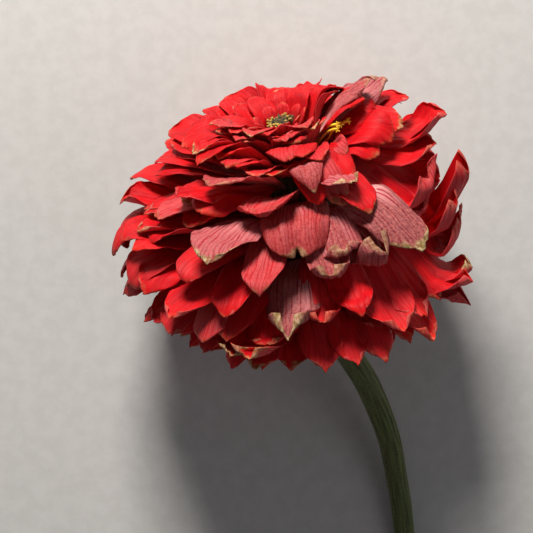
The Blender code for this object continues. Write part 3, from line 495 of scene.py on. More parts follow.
class Sheets:
    """Collects thin closed blades into one mesh with their attributes and bake map."""

    def __init__(self, islands):
        self.points, self.faces, self.leaf, self.tone, self.uv = [], [], [], [], []
        self.count, self.island = 0, 0
        self.across = max(1, math.ceil(math.sqrt(2*islands*0.35)))
        self.down = math.ceil(2*islands/self.across)

    def add(self, p, thick, leaf, tone_out, tone_under):
        """p (rows+1, columns+1, 3) in mm, its +normal side is the outer one; leaf and tone are per-point vectors."""
        rows, columns = p.shape[0]-1, p.shape[1]-1
        n = grid_normals(p)
        w = (columns+1)*(rows+1)
        both = np.concatenate([(p+n*thick[..., None]/2).reshape(-1, 3), (p-n*thick[..., None]/2).reshape(-1, 3)])
        both[:, 2] = np.maximum(both[:, 2], 0.05)
        a = np.arange(w).reshape(rows+1, columns+1)
        top = np.stack([a[:-1, :-1], a[1:, :-1], a[1:, 1:], a[:-1, 1:]], -1).reshape(-1, 4)
        under = top[:, ::-1]+w
        ring = np.concatenate([a[0, :-1], a[:-1, -1], a[-1, :0:-1], a[:0:-1, 0]])
        rim = np.stack([ring, np.roll(ring, -1), np.roll(ring, -1)+w, ring+w], -1)
        faces = np.concatenate([top, under, rim])
        # bake map: the two sides are two cells, and the rim is a strip round the outer side's cell
        cell = np.array([1/self.across, 1/self.down])
        fx, fy = np.meshgrid(np.linspace(0, 1, columns+1), np.linspace(0, 1, rows+1))
        spots = []
        for k in range(2):
            i = self.island+k
            low = np.array([i % self.across, i//self.across])*cell
            spots.append(low+cell*(0.05+0.9*np.stack([fx, fy], -1).reshape(-1, 2)))
        middle = spots[0].mean(0)
        outward = np.sign(np.round(spots[0]-middle, 9))
        on_edge = np.stack([(fx.ravel() < 1e-9) | (fx.ravel() > 1-1e-9), (fy.ravel() < 1e-9) | (fy.ravel() > 1-1e-9)], -1)
        pushed = spots[0]+outward*on_edge*cell*0.03
        flat = np.concatenate([spots[0], spots[1]])
        uv = flat[np.concatenate([top, under]).ravel()]
        rim_uv = np.where((rim >= w).ravel()[:, None], pushed[rim.ravel() % w], spots[0][rim.ravel() % w])
        self.uv.append(np.concatenate([uv, rim_uv]))
        self.points.append(both)
        self.faces.append(faces+self.count)
        self.leaf.append(np.concatenate([leaf.reshape(-1, 3)]*2))
        self.tone.append(np.concatenate([tone_out.reshape(-1, 3), tone_under.reshape(-1, 3)]))
        self.count += 2*w
        self.island += 2

    def piece(self, name, material):
        mesh = bpy.data.meshes.new(name)
        points, faces = np.concatenate(self.points)*MM, np.concatenate(self.faces)
        mesh.vertices.add(len(points))
        mesh.vertices.foreach_set("co", points.astype(np.float32).ravel())
        mesh.loops.add(faces.size)
        mesh.loops.foreach_set("vertex_index", faces.astype(np.int32).ravel())
        mesh.polygons.add(len(faces))
        mesh.polygons.foreach_set("loop_start", np.arange(0, faces.size, 4, dtype=np.int32))
        mesh.polygons.foreach_set("use_smooth", np.ones(len(faces), bool))
        mesh.update(calc_edges=True)
        for key, values in (("leaf", self.leaf), ("tone", self.tone)):
            made = mesh.attributes.new(key, "FLOAT_VECTOR", "POINT")
            made.data.foreach_set("vector", np.concatenate(values).astype(np.float32).ravel())
        layer = mesh.uv_layers.new(name="OFBake")
        layer.data.foreach_set("uv", np.concatenate(self.uv).astype(np.float32).ravel())
        mesh.materials.append(material)
        mesh.validate()
        obj = bpy.data.objects.new(name, mesh)
        bpy.context.scene.collection.objects.link(obj)
        return obj


# ---------- materials ----------
class Nodes:
    """A short way to write a node tree."""

    def __init__(self, name):
        self.material = bpy.data.materials.new(name)
        self.material.use_nodes = True
        self.tree = self.material.node_tree
        self.bsdf = self.tree.nodes["Principled BSDF"]

    def new(self, kind, **settings):
        node = self.tree.nodes.new(kind)
        for key, value in settings.items():
            setattr(node, key, value)
        return node

    def put(self, socket, value):
        if isinstance(value, bpy.types.NodeSocket):
            self.tree.links.new(value, socket)
        else:
            socket.default_value = value

    def attribute(self, name):
        return self.new("ShaderNodeAttribute", attribute_name=name, attribute_type="GEOMETRY").outputs["Vector"]

    def split(self, vector):
        node = self.new("ShaderNodeSeparateXYZ")
        self.put(node.inputs[0], vector)
        return node.outputs[0], node.outputs[1], node.outputs[2]

    def join(self, x, y, z=0.0):
        node = self.new("ShaderNodeCombineXYZ")
        for socket, value in zip(node.inputs, (x, y, z)):
            self.put(socket, value)
        return node.outputs[0]

    def math(self, operation, a, b=0.0, c=0.0, clamp=False):
        node = self.new("ShaderNodeMath", operation=operation, use_clamp=clamp)
        for socket, value in zip(node.inputs, (a, b, c)):
            self.put(socket, value)
        return node.outputs[0]

    def noise(self, vector, scale, detail=3.0, rough=0.55, distortion=0.0):
        node = self.new("ShaderNodeTexNoise")
        self.put(node.inputs["Vector"], vector)
        for key, value in (("Scale", scale), ("Detail", detail), ("Roughness", rough), ("Distortion", distortion)):
            node.inputs[key].default_value = value
        return node.outputs["Fac"]

    def span(self, value, a, b, low=0.0, high=1.0, smooth=True):
        node = self.new("ShaderNodeMapRange", interpolation_type="SMOOTHSTEP" if smooth else "LINEAR")
        for key, item in (("Value", value), ("From Min", a), ("From Max", b), ("To Min", low), ("To Max", high)):
            self.put(node.inputs[key], item)
        return node.outputs[0]

    def mix(self, share, a, b, blend="MIX"):
        node = self.new("ShaderNodeMix", data_type="RGBA", blend_type=blend)
        self.put(node.inputs[0], share)
        for socket, value in ((node.inputs[6], a), (node.inputs[7], b)):
            self.put(socket, (*value, 1.0) if isinstance(value, tuple) and len(value) == 3 else value)
        return node.outputs[2]

    def finish(self, colour, rough, height=None, depth=0.0001, strength=0.6, **constants):
        self.put(self.bsdf.inputs["Base Color"], colour)
        self.put(self.bsdf.inputs["Roughness"], rough)
        if height is not None:
            bump = self.new("ShaderNodeBump")
            bump.inputs["Strength"].default_value = strength
            bump.inputs["Distance"].default_value = depth
            self.put(bump.inputs["Height"], height)
            self.put(self.bsdf.inputs["Normal"], bump.outputs[0])
        for key, value in constants.items():
            self.bsdf.inputs[key.replace("_", " ")].default_value = value
        return self.material


def petal_material():
    m = Nodes("zinnia_petal")
    place = m.new("ShaderNodeTexCoord").outputs["Object"]
    x, v, chance = m.split(m.attribute("leaf"))          # mm across, 0..1 along, 0..1 for each floret
    pale, brown, cream = m.split(m.attribute("tone"))
    shift = m.math("MULTIPLY", chance, 37.0)
    drift = m.noise(m.join(m.math("MULTIPLY", x, 0.22), m.math("MULTIPLY", v, 3.0), shift), 1.0, 2.0)
    line = m.math("ADD", x, m.math("MULTIPLY", m.math("SUBTRACT", drift, 0.5), 3.4))
    # nerves: broad ones with finer ones between
    broad = m.math("ABSOLUTE", m.math("SINE", m.math("MULTIPLY", line, math.pi/1.05)))
    fine = m.math("ABSOLUTE", m.math("SINE", m.math("MULTIPLY", line, math.pi/0.42)))
    streak = m.noise(m.join(m.math("MULTIPLY", x, 1.6), m.math("MULTIPLY", v, 2.2), shift), 1.0, 3.0, 0.6)
    nerve = m.span(m.math("ADD", broad, m.math("MULTIPLY", m.math("SUBTRACT", streak, 0.5), 2.4)), 0.0, 0.62, 1.0, 0.0)
    nerve_fine = m.span(fine, 0.1, 0.6, 1.0, 0.0)
    cloud = m.noise(m.join(m.math("MULTIPLY", x, 0.25), m.math("MULTIPLY", v, 3.5), shift), 1.0, 4.0, 0.6)
    grain = m.noise(place, 3600.0, 3.0, 0.7)
    speck = m.noise(place, 1500.0, 4.0, 0.75)
    # upper side: velvety scarlet, deeper along the nerves and in patches
    red = m.mix(m.span(cloud, 0.3, 0.7), (0.48, 0.0018, 0.008), (0.76, 0.005, 0.009))
    red = m.mix(m.math("MULTIPLY", nerve, 0.22), red, (0.40, 0.0015, 0.008))
    red = m.mix(m.span(grain, 0.45, 0.75, 0.0, 0.25), red, (0.84, 0.014, 0.013))
    red = m.mix(m.span(v, 0.86, 1.0, 0.0, 0.30), red, (0.84, 0.012, 0.010))
    # underside and withered florets: pinkish white between magenta nerves, drying to maroon, buff and olive
    pink = m.mix(m.span(v, 0.15, 0.80), (0.92, 0.68, 0.60), (0.70, 0.25, 0.26))
    pink = m.mix(m.span(cloud, 0.38, 0.78, 0.0, 0.55), pink, (0.74, 0.30, 0.32))
    pink = m.mix(m.math("MULTIPLY", nerve, m.span(v, 0.0, 0.5, 0.70, 0.92)), pink, (0.40, 0.010, 0.040))
    pink = m.mix(m.math("MULTIPLY", nerve_fine, 0.48), pink, (0.52, 0.04, 0.08))
    dry = m.math("MULTIPLY", m.math("MULTIPLY", brown, m.span(m.math("ADD", v, m.math("MULTIPLY", m.math("SUBTRACT", cloud, 0.5), 0.9)), 0.38, 0.82)), 1.0)
    maroon = m.mix(m.span(speck, 0.40, 0.62), (0.075, 0.006, 0.010), (0.36, 0.09, 0.07))
    maroon = m.mix(m.span(speck, 0.60, 0.72, 0.0, 0.6), maroon, (0.52, 0.30, 0.20))
    pink = m.mix(m.math("MULTIPLY", dry, 0.95), pink, maroon)
    body = m.mix(pale, red, pink)
    # margin: buff and olive where it has dried
    ragged = m.math("ADD", m.math("MULTIPLY", m.math("SUBTRACT", m.noise(place, 420.0, 4.0, 0.65), 0.5), 0.22), v)
    margin = m.math("MULTIPLY", cream, m.span(ragged, 0.93, 1.0))
    buff = m.mix(m.span(m.noise(place, 900.0, 3.0), 0.4, 0.65), (0.20, 0.15, 0.035), (0.66, 0.50, 0.27))
    body = m.mix(margin, body, buff)
    height = m.math("ADD", m.math("MULTIPLY", nerve, -0.55), m.math("ADD", m.math("MULTIPLY", grain, 0.30), m.math("MULTIPLY", nerve_fine, -0.22)))
    rough = m.span(m.math("ADD", grain, m.math("MULTIPLY", pale, 0.4)), 0.3, 1.1, 0.46, 0.72, smooth=False)
    return m.finish(body, rough, height, depth=0.00016, strength=0.75, Specular_IOR_Level=0.20, Sheen_Weight=0.045, Sheen_Roughness=0.45,
                    Sheen_Tint=(1.0, 0.22, 0.15, 1.0), Subsurface_Weight=0.12, Subsurface_Radius=(1.0, 0.18, 0.12), Subsurface_Scale=0.0012)


def stem_material():
    m = Nodes("zinnia_stem")
    place = m.new("ShaderNodeTexCoord").outputs["Object"]
    round_, along, cut = m.split(m.attribute("leaf"))    # 0..1 round, mm along, 1 on the cut face
    streak = m.noise(m.join(m.math("MULTIPLY", round_, 34.0), m.math("MULTIPLY", along, 0.10)), 1.0, 4.0, 0.6)
    patch = m.noise(m.join(m.math("MULTIPLY", round_, 4.0), m.math("MULTIPLY", along, 0.06)), 1.0, 3.0)
    dots = m.noise(place, 2600.0, 3.0, 0.7)
    green = m.mix(m.span(streak, 0.3, 0.7), (0.036, 0.050, 0.010), (0.155, 0.185, 0.050))
    green = m.mix(m.span(patch, 0.45, 0.8, 0.0, 0.55), green, (0.13, 0.095, 0.035))
    green = m.mix(m.span(dots, 0.52, 0.75, 0.0, 0.45), green, (0.27, 0.29, 0.13))
    pith = m.mix(m.span(dots, 0.35, 0.65), (0.42, 0.45, 0.22), (0.62, 0.62, 0.38))
    colour = m.mix(cut, green, pith)
    height = m.math("ADD", m.math("MULTIPLY", streak, 0.8), m.math("MULTIPLY", dots, 0.35))
    return m.finish(colour, m.span(dots, 0.3, 0.7, 0.45, 0.66), height, depth=0.0002, strength=0.8, Specular_IOR_Level=0.4, Sheen_Weight=0.3,
                    Sheen_Roughness=0.35, Sheen_Tint=(0.8, 0.9, 0.6, 1.0), Subsurface_Weight=0.08, Subsurface_Radius=(0.4, 0.6, 0.15), Subsurface_Scale=0.001)


def bract_material():
    m = Nodes("zinnia_bract")
    place = m.new("ShaderNodeTexCoord").outputs["Object"]
    x, v, chance = m.split(m.attribute("leaf"))
    streak = m.noise(m.join(m.math("MULTIPLY", x, 2.6), m.math("MULTIPLY", v, 1.4), m.math("MULTIPLY", chance, 31.0)), 1.0, 4.0, 0.6)
    dots = m.noise(place, 2200.0, 3.0, 0.7)
    green = m.mix(m.span(streak, 0.32, 0.68), (0.060, 0.085, 0.018), (0.19, 0.23, 0.07))
    green = m.mix(m.span(dots, 0.5, 0.75, 0.0, 0.4), green, (0.30, 0.30, 0.12))
    edge = m.span(m.math("ADD", v, m.math("MULTIPLY", m.math("SUBTRACT", streak, 0.5), 0.12)), 0.80, 0.90)
    colour = m.mix(edge, green, m.mix(m.span(dots, 0.4, 0.6), (0.022, 0.008, 0.006), (0.11, 0.045, 0.025)))
    return m.finish(colour, m.span(dots, 0.3, 0.7, 0.42, 0.62), m.math("ADD", streak, m.math("MULTIPLY", dots, 0.3)), depth=0.00018, strength=0.7,
                    Specular_IOR_Level=0.4, Sheen_Weight=0.2, Sheen_Roughness=0.4)


def disc_material(name, low, middle, high):
    m = Nodes(name)
    place = m.new("ShaderNodeTexCoord").outputs["Object"]
    x, v, chance = m.split(m.attribute("leaf"))
    dots = m.noise(place, 2400.0, 3.0, 0.7)
    level = m.math("ADD", v, m.math("MULTIPLY", m.math("SUBTRACT", dots, 0.5), 0.35))
    colour = m.mix(m.span(level, 0.05, 0.55), low, middle)
    colour = m.mix(m.span(level, 0.55, 0.95), colour, high)
    colour = m.mix(m.math("MULTIPLY", m.span(chance, 0.6, 0.9), 0.5), colour, low)
    return m.finish(colour, m.span(dots, 0.3, 0.7, 0.45, 0.7), dots, depth=0.00012, strength=0.6, Specular_IOR_Level=0.4, Sheen_Weight=0.2,
                    Subsurface_Weight=0.12, Subsurface_Radius=(0.8, 0.5, 0.15), Subsurface_Scale=0.0008)


# ---------- sizes that the CAD also uses ----------
FAN_ROOT, CONE_GAP = 1.3, 0.85
STEM_R_NECK, STEM_R_END = 3.4, 2.6
STEM_PATH = np.array([
    (28.5, -112.0, 2.6), (28.0, -94.0, 2.6), (26.6, -77.5, 3.4), (24.6, -65.0, 6.0), (21.8, -52.5, 10.6), (16.4, -39.5, 17.4),
    (9.6, -28.5, 24.2)])
BRACTS = 11
BRACT_ROWS = [
    [(4.5, -21.0), (8.6, -20.7), (12.4, -18.9)],
    [(5.0, -19.5), (9.2, -19.1), (13.2, -17.2)],
    [(5.7, -18.1), (9.6, -17.9), (12.5, -16.9)],
]
DISC_R, DISC_Z = 1.9, 32.8


def axis_point(z):
    return AXIS*z+np.array([0, 0, HEAD_HEIGHT])+PLACE


def placed(piece, slot, *nodes):
    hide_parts(*nodes)
    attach(piece, "root")
    return piece


def tube_grid(path, radii, around, uneven):
    """Points (rings, around, 3) about a path; uneven(turn 0..1, ring) scales the radius."""
    path = np.asarray(path, float)
    tangent = np.gradient(path, axis=0)
    tangent /= np.linalg.norm(tangent, axis=1, keepdims=True)
    side = np.zeros_like(path)
    side[0] = np.cross(tangent[0], [0.0, 0.0, 1.0] if abs(tangent[0][2]) < 0.9 else [1.0, 0.0, 0.0])
    side[0] /= np.linalg.norm(side[0])
    for i in range(1, len(path)):
        s = side[i-1]-tangent[i]*np.dot(side[i-1], tangent[i])
        side[i] = s/np.linalg.norm(s)
    up = np.cross(side, tangent)
    turn = np.arange(around)/around
    a = 2*math.pi*turn
    r = np.asarray(radii)[:, None]*uneven(turn[None, :], np.arange(len(path))[:, None])
    return path[:, None]+r[..., None]*(np.cos(a)[None, :, None]*side[:, None]+np.sin(a)[None, :, None]*up[:, None])


class Tubes:
    """Collects closed round bodies into one mesh with the leaf attribute."""

    def __init__(self):
        self.points, self.faces, self.leaf, self.smooth, self.count = [], [], [], [], 0

    def add(self, grid, leaf, sharp_start=False, close=True):
        """grid (rings, around, 3) in mm, leaf the same shape; the ends close on a middle point."""
        rings, around = grid.shape[:2]
        index = np.arange(rings*around).reshape(rings, around)
        right = np.roll(index, -1, 1)
        quads = np.stack([index[:-1], right[:-1], right[1:], index[1:]], -1).reshape(-1, 4)
        ends = np.stack([grid[0].mean(0), grid[-1].mean(0)])
        end_leaf = np.stack([leaf[0].mean(0), leaf[-1].mean(0)])
        a, b = rings*around, rings*around+1
        first = np.stack([right[0], index[0], np.full(around, a)], -1)
        last = np.stack([index[-1], right[-1], np.full(around, b)], -1)
        self.points.append(np.concatenate([grid.reshape(-1, 3), ends]))
        self.leaf.append(np.concatenate([leaf.reshape(-1, 3), end_leaf]))
        for group in (quads, first, last):
            self.faces += (group+self.count).tolist()
        self.smooth += [True]*len(quads)+[not sharp_start]*len(first)+[True]*len(last)
        self.count += rings*around+2

    def piece(self, name, material):
        mesh = bpy.data.meshes.new(name)
        points = np.concatenate(self.points)
        points[:, 2] = np.maximum(points[:, 2], 0.03)
        mesh.from_pydata((points*MM).tolist(), [], self.faces)
        mesh.polygons.foreach_set("use_smooth", np.array(self.smooth))
        made = mesh.attributes.new("leaf", "FLOAT_VECTOR", "POINT")
        made.data.foreach_set("vector", np.concatenate(self.leaf).astype(np.float32).ravel())
        mesh.materials.append(material)
        mesh.update()
        obj = bpy.data.objects.new(name, mesh)
        bpy.context.scene.collection.objects.link(obj)
        return obj


def build_stem(material):
    """The ribbed stem with its cut end, thickened neck and the cone that carries the florets."""
    knots = np.arange(len(STEM_PATH))
    fine = np.linspace(0, knots[-1], 150)
    stem = np.stack([through(fine, knots, STEM_PATH[:, k]) for k in range(3)], -1)
    stem_r = STEM_R_END+(STEM_R_NECK-STEM_R_END)*ramp(fine/knots[-1], 0.1, 1.0)
    stem[:, 2] = np.maximum(stem[:, 2], stem_r)
    stem += PLACE
    cone_r = BASE_R-FAN_ROOT*np.cos(SLOPE_OUT)-CONE_GAP
    cone_z = BASE_Z-FAN_ROOT*np.sin(SLOPE_OUT)
    z = np.concatenate([[-23.0, -20.5, -18.8], cone_z])
    r = np.concatenate([[STEM_R_NECK, 3.6, 4.1], cone_r])
    k = np.arange(len(z))
    kk = np.linspace(0, k[-1], 60)
    zz, rr = through(kk, k, z), through(kk, k, r)
    path = np.concatenate([stem, [axis_point(h) for h in zz]])
    radii = np.concatenate([stem_r, rr])
    rng = np.random.default_rng(5)
    phase = rng.random(6)
    length = np.concatenate([[0], np.cumsum(np.linalg.norm(np.diff(path, axis=0), axis=1))])

    def uneven(turn, ring):
        t = length[ring]
        ribs = 0.030*np.sin(2*math.pi*(13*turn+0.2*np.sin(t/19+phase[0])))+0.014*np.sin(2*math.pi*(29*turn+phase[1]+t/60))
        bumps = 0.018*np.sin(t/6.3+phase[2]*6)*np.sin(2*math.pi*(2*turn+phase[3]))+0.012*np.sin(t/2.9+2*math.pi*turn*3)
        return 1-0.03+ribs*ramp(t, 0, 3)+bumps
    first = path[:1]-(path[1:2]-path[:1])*0.0
    grid = tube_grid(path, radii, 84, uneven)
    # the cut: its rim is slightly bruised outwards and the pith sinks
    axis0 = path[1]-path[0]
    axis0 /= np.linalg.norm(axis0)
    turn = np.arange(84)/84
    rings = [path[0]+(grid[0]-path[0])*share+axis0*sink for share, sink in ((0.45, 0.55), (0.72, 0.35), (0.86, 0.08), (0.95, 0.0))]
    grid = np.concatenate([np.array(rings), grid[1:]])
    leaf = np.zeros(grid.shape)
    leaf[..., 0] = turn[None, :]
    along = np.concatenate([[0, 0, 0, 0], length[1:]])
    leaf[..., 1] = along[:, None]
    leaf[:3, :, 2] = np.array([1.0, 0.9, 0.45])[:, None]
    tubes = Tubes()
    tubes.add(grid, leaf)
    # short stiff hairs, as zinnia stems carry
    rng = np.random.default_rng(12)
    normals = grid-np.concatenate([np.repeat(path[:1], 4, 0), path[1:]])[:, None]
    normals /= np.maximum(np.linalg.norm(normals, axis=-1, keepdims=True), 1e-9)
    for _ in range(900):
        i, j = int(rng.integers(6, 150)), int(rng.integers(0, 84))
        base, n = grid[i, j], normals[i, j]
        if base[2] < 0.8:
            continue
        tilt = n+0.5*rng.normal(size=3)*0.5
        tilt /= np.linalg.norm(tilt)
        long_ = rng.uniform(0.35, 0.85)
        ray = np.linspace(-0.12, long_, 3)[:, None]*tilt+base
        hair = tube_grid(ray, [0.045, 0.032, 0.008], 4, lambda t, k: 1.0+0*t+0*k)
        kind = np.zeros(hair.shape)
        kind[..., 0], kind[..., 1], kind[..., 2] = 0.1, length[i], 0.55
        tubes.add(hair, kind)
    return tubes.piece("stem_and_receptacle_fine", material)


def build_bracts(row, material):
    """One row of scales, each a thin ovate blade with a ragged dark rim."""
    profile = np.array(BRACT_ROWS[row])
    rng = np.random.default_rng(40+row)
    sheets = Sheets(BRACTS)
    for k in range(BRACTS):
        u, v = np.meshgrid(np.linspace(-1, 1, 17), np.linspace(0, 1, 15))
        middle = 2*math.pi*(k+0.5*row+0.08*rng.normal())/BRACTS
        width = 2*math.pi/BRACTS*0.70
        outline = np.sqrt(np.clip(1-np.clip((v-0.55)/0.46, 0, 1)**2.2, 0, 1))*0.93+0.07
        end = 1-0.10*np.abs(u)**2+0.02*ripple(rng, u, 1.5)+rng.uniform(-0.05, 0.05)
        t = v*end*(len(profile)-1)
        r = np.interp(t, np.arange(len(profile)), profile[:, 0])
        z = np.interp(t, np.arange(len(profile)), profile[:, 1])
        az = middle+u*width*outline
        z = z-0.45*(1-u*u)*ramp(v, 0.1, 0.6)+0.18*u+0.10*ripple(rng, u, 1.3)*ramp(v, 0.3, 1)-0.35*ramp(v, 0.7, 1)*rng.uniform(-0.4, 1)
        p = lay_down(np.stack([r*np.cos(az), r*np.sin(az), z], -1))
        leaf = np.stack([u*3.2, v, np.full_like(u, rng.random())], -1)
        tone = np.zeros_like(leaf)
        rim = np.maximum(np.abs(u)**4, v**6)
        sheets.add(p, 0.42-0.26*rim, leaf, tone, tone)
    return sheets.piece(f"bract_row_{row+1}_fine", material)


def build_disc(material):
    """Unopened and opening disc florets, crowded on a small dome."""
    rng = np.random.default_rng(8)
    tubes = Tubes()
    count = 64
    dome = np.linspace(0, math.pi*0.62, 10)
    ring_r, ring_z = np.maximum(2.5*np.sin(dome), 0.02), DISC_Z-0.2+1.7*np.cos(dome)
    turns = np.arange(24)/24*2*math.pi
    core = np.stack([ring_r[:, None]*np.cos(turns), ring_r[:, None]*np.sin(turns), np.repeat(ring_z[:, None], 24, 1)], -1)[::-1]
    core_leaf = np.zeros(core.shape)
    tubes.add(lay_down(core), core_leaf)
    for k in range(count):
        out = math.sqrt((k+0.5)/count)
        az = k*GOLDEN
        base = np.array([2.55*out*math.cos(az), 2.55*out*math.sin(az), DISC_Z+1.35*math.sqrt(max(1-out*out*0.9, 0.0))-0.3])
        tilt = np.array([math.cos(az)*out*0.65, math.sin(az)*out*0.65, 1.0])+0.10*rng.normal(size=3)
        tilt /= np.linalg.norm(tilt)
        tall = rng.uniform(1.3, 2.1)*(0.75+0.5*out)
        open_ = out > 0.55 and rng.random() < 0.55
        t = np.array([-0.15, 0.1, 0.35, 0.6, 0.8, 0.92, 1.0])
        radius = (np.array([0.12, 0.16, 0.17, 0.21, 0.27, 0.33, 0.24]) if open_ else np.array([0.14, 0.19, 0.24, 0.27, 0.23, 0.14, 0.04]))*rng.uniform(0.95, 1.3)
        path = base+t[:, None]*tall*tilt
        grid = tube_grid(path, radius, 10, lambda a, i: 1+0.18*np.cos(2*math.pi*5*a)*np.clip(i/4-0.4, 0, 1))
        leaf = np.zeros(grid.shape)
        leaf[..., 1] = np.clip(t, 0, 1)[:, None]*(0.65 if not open_ else 1.0)
        leaf[..., 2] = rng.random()
        tubes.add(lay_down(grid), leaf)
    return tubes.piece("disc_florets_fine", material)


def build_tassel(group, material):
    """Opened yellow disc florets: slim tubes that end in five curled lobes, with the style's two arms."""
    rng = np.random.default_rng(17)
    tubes = Tubes()
    for f in group:
        t = np.linspace(0.05, 0.97, 12)
        path = blade(f, np.zeros(12), t)
        path = path+0.25*np.stack([ripple(rng, t, 1.0), ripple(rng, t, 1.0), ripple(rng, t, 1.0)], -1)*ramp(t, 0.3, 1)[:, None]
        radius = 0.24+0.14*ramp(t, 0.55, 1.0)
        grid = tube_grid(path, radius, 15, lambda a, i: 1+0.10*np.cos(2*math.pi*5*a)*np.clip(i/11, 0, 1))
        leaf = np.zeros(grid.shape)
        leaf[..., 1] = (0.35+0.65*ramp(t, 0.2, 0.7))[:, None]
        leaf[..., 2] = 0.5*rng.random()
        tubes.add(grid, leaf)
        end, ahead = path[-1], path[-1]-path[-2]
        ahead /= np.linalg.norm(ahead)
        side = np.cross(ahead, [0.3, 0.2, 1.0])
        side /= np.linalg.norm(side)
        other = np.cross(ahead, side)
        for k in range(7):
            a = 2*math.pi*(k/5 if k < 5 else (k-5)/2+0.1)
            out = math.cos(a)*side+math.sin(a)*other
            reach = rng.uniform(0.7, 1.1) if k < 5 else rng.uniform(1.1, 1.6)
            w = np.linspace(0, 1, 7)[:, None]
            spread = 0.36 if k < 5 else 0.10
            lobe = end-0.2*ahead+out*(spread*0.8+reach*(0.75 if k < 5 else 0.35)*w**1.3)+ahead*(reach*(0.75*w-(0.7 if k < 5 else 0.1)*w**2.4))
            thick = (np.array([0.14, 0.17, 0.18, 0.17, 0.15, 0.11, 0.04]) if k < 5 else np.full(7, 0.10))
            body = tube_grid(lobe, thick, 8, lambda a, i: 1+0*a+0*i)
            kind = np.zeros(body.shape)
            kind[..., 1], kind[..., 2] = 0.9+0.1*w, 0.4*rng.random()
            tubes.add(body, kind)
    return tubes.piece("disc_tassel_fine", material)


def add_floret(sheets, f, name, columns, rows):
    rng = np.random.default_rng(300+f["seed"])
    look = LOOKS.get(name, {})
    p, x, v, share, thick = petal_surface(f, name, columns, rows)
    leaf = np.stack([x, share, np.full_like(x, rng.random())], -1)
    pale = f["pale"]
    brown = look.get("brown", min(1.0, 0.25+pale*rng.uniform(0.5, 1.0)))
    cream = look.get("cream", rng.uniform(0.3, 0.9) if rng.random() < 0.25+0.6*pale else rng.uniform(0.0, 0.25))
    u = np.abs(np.linspace(-1, 1, columns+1))[None, :]*np.ones_like(x)
    # the margin counter runs to 1 at the tip and, where the floret has faded, at its sides
    rimmed = np.maximum(v, (0.80+0.2*u**6)*ramp(share, 0.35, 0.7)*(0.35+0.65*pale+0.0*u)) if pale > 0.3 else v
    leaf[..., 1] = np.clip(rimmed, 0, 1)
    out_pale = np.clip(pale*1.25-0.05, 0, 1)
    outer = np.stack([np.full_like(x, out_pale), np.full_like(x, brown), np.full_like(x, cream)], -1)
    under = np.stack([np.full_like(x, max(out_pale, rng.uniform(0.14, 0.34))), np.full_like(x, brown*0.8), np.full_like(x, cream)], -1)
    sheets.add(p, thick, leaf, outer, under)


def beneath(f, turn, lower, share, seed, pale):
    """A companion floret close under another one, turned by so many degrees and lower by so many mm."""
    gap, = layer_at(f["layers"], STATIONS, T_GAP)
    twin = dict(f, az=f["az"]+math.radians(turn), layers=f["layers"]-lower/np.maximum(gap, 8.0)*np.clip(STATIONS/8.0, 0.35, 1.0),
                length=f["length"]*share, seed=f["seed"]+seed, pale=pale, name="", tip=0)
    twin["q"] = float(twin["layers"][-1])
    return twin


PETAL = petal_material()
florets_by_node = {}
named = list(RAYS)
for i, f in enumerate(florets()):
    f["name"] = named[i] if i < len(named) else f["node"]
    florets_by_node.setdefault(f["node"], []).append(f)
tassel = florets_by_node.pop("disc_tassel")
# the florets grow thicker than they are counted: each has a companion under it, and the opened flank shows its small inner ones
for node, group in florets_by_node.items():
    more = []
    for k, f in enumerate(group):
        if not f["fan"]:
            if 222 < math.degrees(f["az"]) % 360 < 330 and f["q"] > 0.43:
                continue
            side = -1 if f["seed"] % 2 else 1
            more.append(beneath(f, side*(7.0+2.0*(f["seed"] % 3)/2), 0.6, 0.93, 500, 0.25*f["pale"]*(f["pale"] < 0.5)))
            if f["q"] > 0.7:
                more.append(beneath(f, -side*10.0, 0.75, 0.84, 700, 0.0))
        elif node.startswith(("back", "low", "mid", "inner_fan_1")) and k+1 < len(group):
            more.append(beneath(f, math.degrees(group[k+1]["az"]-f["az"])/2, 0.55, 0.96, 500, f["pale"]*0.5))
    group += more
last_inner = florets_by_node["inner_fan_1"][5]
last_mid = florets_by_node["mid_fan_1"][3]
for k, (turn, lower, share) in enumerate(((-22, 1.3, 0.95), (-8, 1.2, 0.9), (6, 1.4, 0.95), (18, 1.3, 0.9))):
    extra = beneath(last_inner, turn, lower, share, 40+k, 0.25 if k % 3 == 1 else 0.0)
    extra["width"] = 7.5
    florets_by_node["inner_fan_1"].append(extra)
for k, (turn, lower, share) in enumerate(((-4, 1.2, 0.9), (8, 1.4, 0.95), (20, 1.3, 0.9), (-16, 1.5, 0.85), (-9, 2.2, 1.1), (2, 2.3, 1.15), (13, 2.2, 1.05))):
    extra = beneath(last_mid, turn, lower, share, 60+k, 0.3 if k % 3 == 2 else 0.0)
    extra["width"] = 8.0
    florets_by_node["mid_fan_1"].append(extra)
SLOT_OF = {s["node"]: s["material_slot"] for s in frame["record"]["subparts"]}
for node, group in florets_by_node.items():
    sheets = Sheets(len(group))
    for f in group:
        small = f["length"] < 8
        columns, rows = (12, 20) if small else (16, 28) if f["fan"] else (28, 44)
        add_floret(sheets, f, f["name"], columns, rows)
    placed(sheets.piece(node+"_fine", PETAL), SLOT_OF.get(node, "petal_scarlet"), node)
placed(build_stem(stem_material()), "stem_green", "stem_and_receptacle")
BRACT = bract_material()
for row in range(len(BRACT_ROWS)):
    placed(build_bracts(row, BRACT), "bract_green", f"bract_row_{row+1}")
placed(build_disc(disc_material("zinnia_disc", (0.020, 0.010, 0.004), (0.085, 0.060, 0.012), (0.50, 0.34, 0.045))), "disc_olive", "disc_florets")
placed(build_tassel(tassel, disc_material("zinnia_open_florets", (0.30, 0.10, 0.01), (0.80, 0.42, 0.01), (0.95, 0.62, 0.02))), "disc_yellow", "disc_tassel")

# ---------- floor, light and camera ----------
HEAD = PLACE*MM


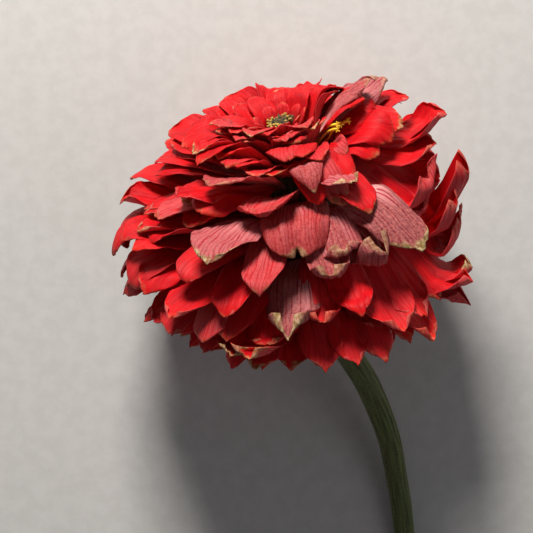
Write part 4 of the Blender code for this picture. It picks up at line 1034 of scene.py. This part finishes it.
def floor_material():
    m = Nodes("studio_floor")
    place = m.new("ShaderNodeTexCoord").outputs["Object"]
    fibre = m.noise(place, 240.0, 4.0, 0.6)
    colour = m.mix(m.span(fibre, 0.35, 0.65), (0.60, 0.59, 0.57), (0.64, 0.63, 0.61))
    return m.finish(colour, 0.85, fibre, depth=0.0001, strength=0.15, Specular_IOR_Level=0.2)


bpy.ops.mesh.primitive_plane_add(size=4.0, location=(0, 0, 0))
floor = bpy.context.object
floor.name = "studio_floor"
floor.data.materials.append(floor_material())


def lamp(name, place, size, power, colour=(1, 1, 1)):
    data = bpy.data.lights.new(name, "AREA")
    data.shape, data.size, data.energy, data.color = "SQUARE", size, power, colour
    obj = bpy.data.objects.new(name, data)
    bpy.context.scene.collection.objects.link(obj)
    from mathutils import Vector
    obj.location = HEAD+np.array(place)
    obj.rotation_euler = (Vector(HEAD+np.array([0, 0, 0.035]))-obj.location).to_track_quat("-Z", "Y").to_euler()
    return obj


lamp("key_softbox", (-0.10, 0.48, 0.40), 0.17, 5.3, (1.0, 0.96, 0.91))
lamp("fill_softbox", (0.55, -0.15, 0.60), 0.5, 0.5, (0.95, 0.97, 1.0))
world = bpy.data.worlds.new("studio")
bpy.context.scene.world = world
world.use_nodes = True
world.node_tree.nodes["Background"].inputs[0].default_value = (0.9, 0.93, 1.0, 1)
world.node_tree.nodes["Background"].inputs[1].default_value = 0.10

# the camera looks straight down on the laid flower
MM_PER_PIXEL, DISTANCE = 0.26, 520.0
camera_data = bpy.data.cameras.new("camera")
camera_data.sensor_width = 36.0
camera_data.lens = 36.0*DISTANCE/(533*MM_PER_PIXEL)
camera_data.clip_start = 0.01
camera = bpy.data.objects.new("camera", camera_data)
bpy.context.scene.collection.objects.link(camera)
camera.location = ((PLACE[0]-11.31)*MM, (PLACE[1]-6.89)*MM, (HEAD_HEIGHT+DISTANCE)*MM)
bpy.context.scene.camera = camera
bpy.context.scene.view_settings.view_transform = "Standard"
bpy.context.scene.view_settings.look = "None"
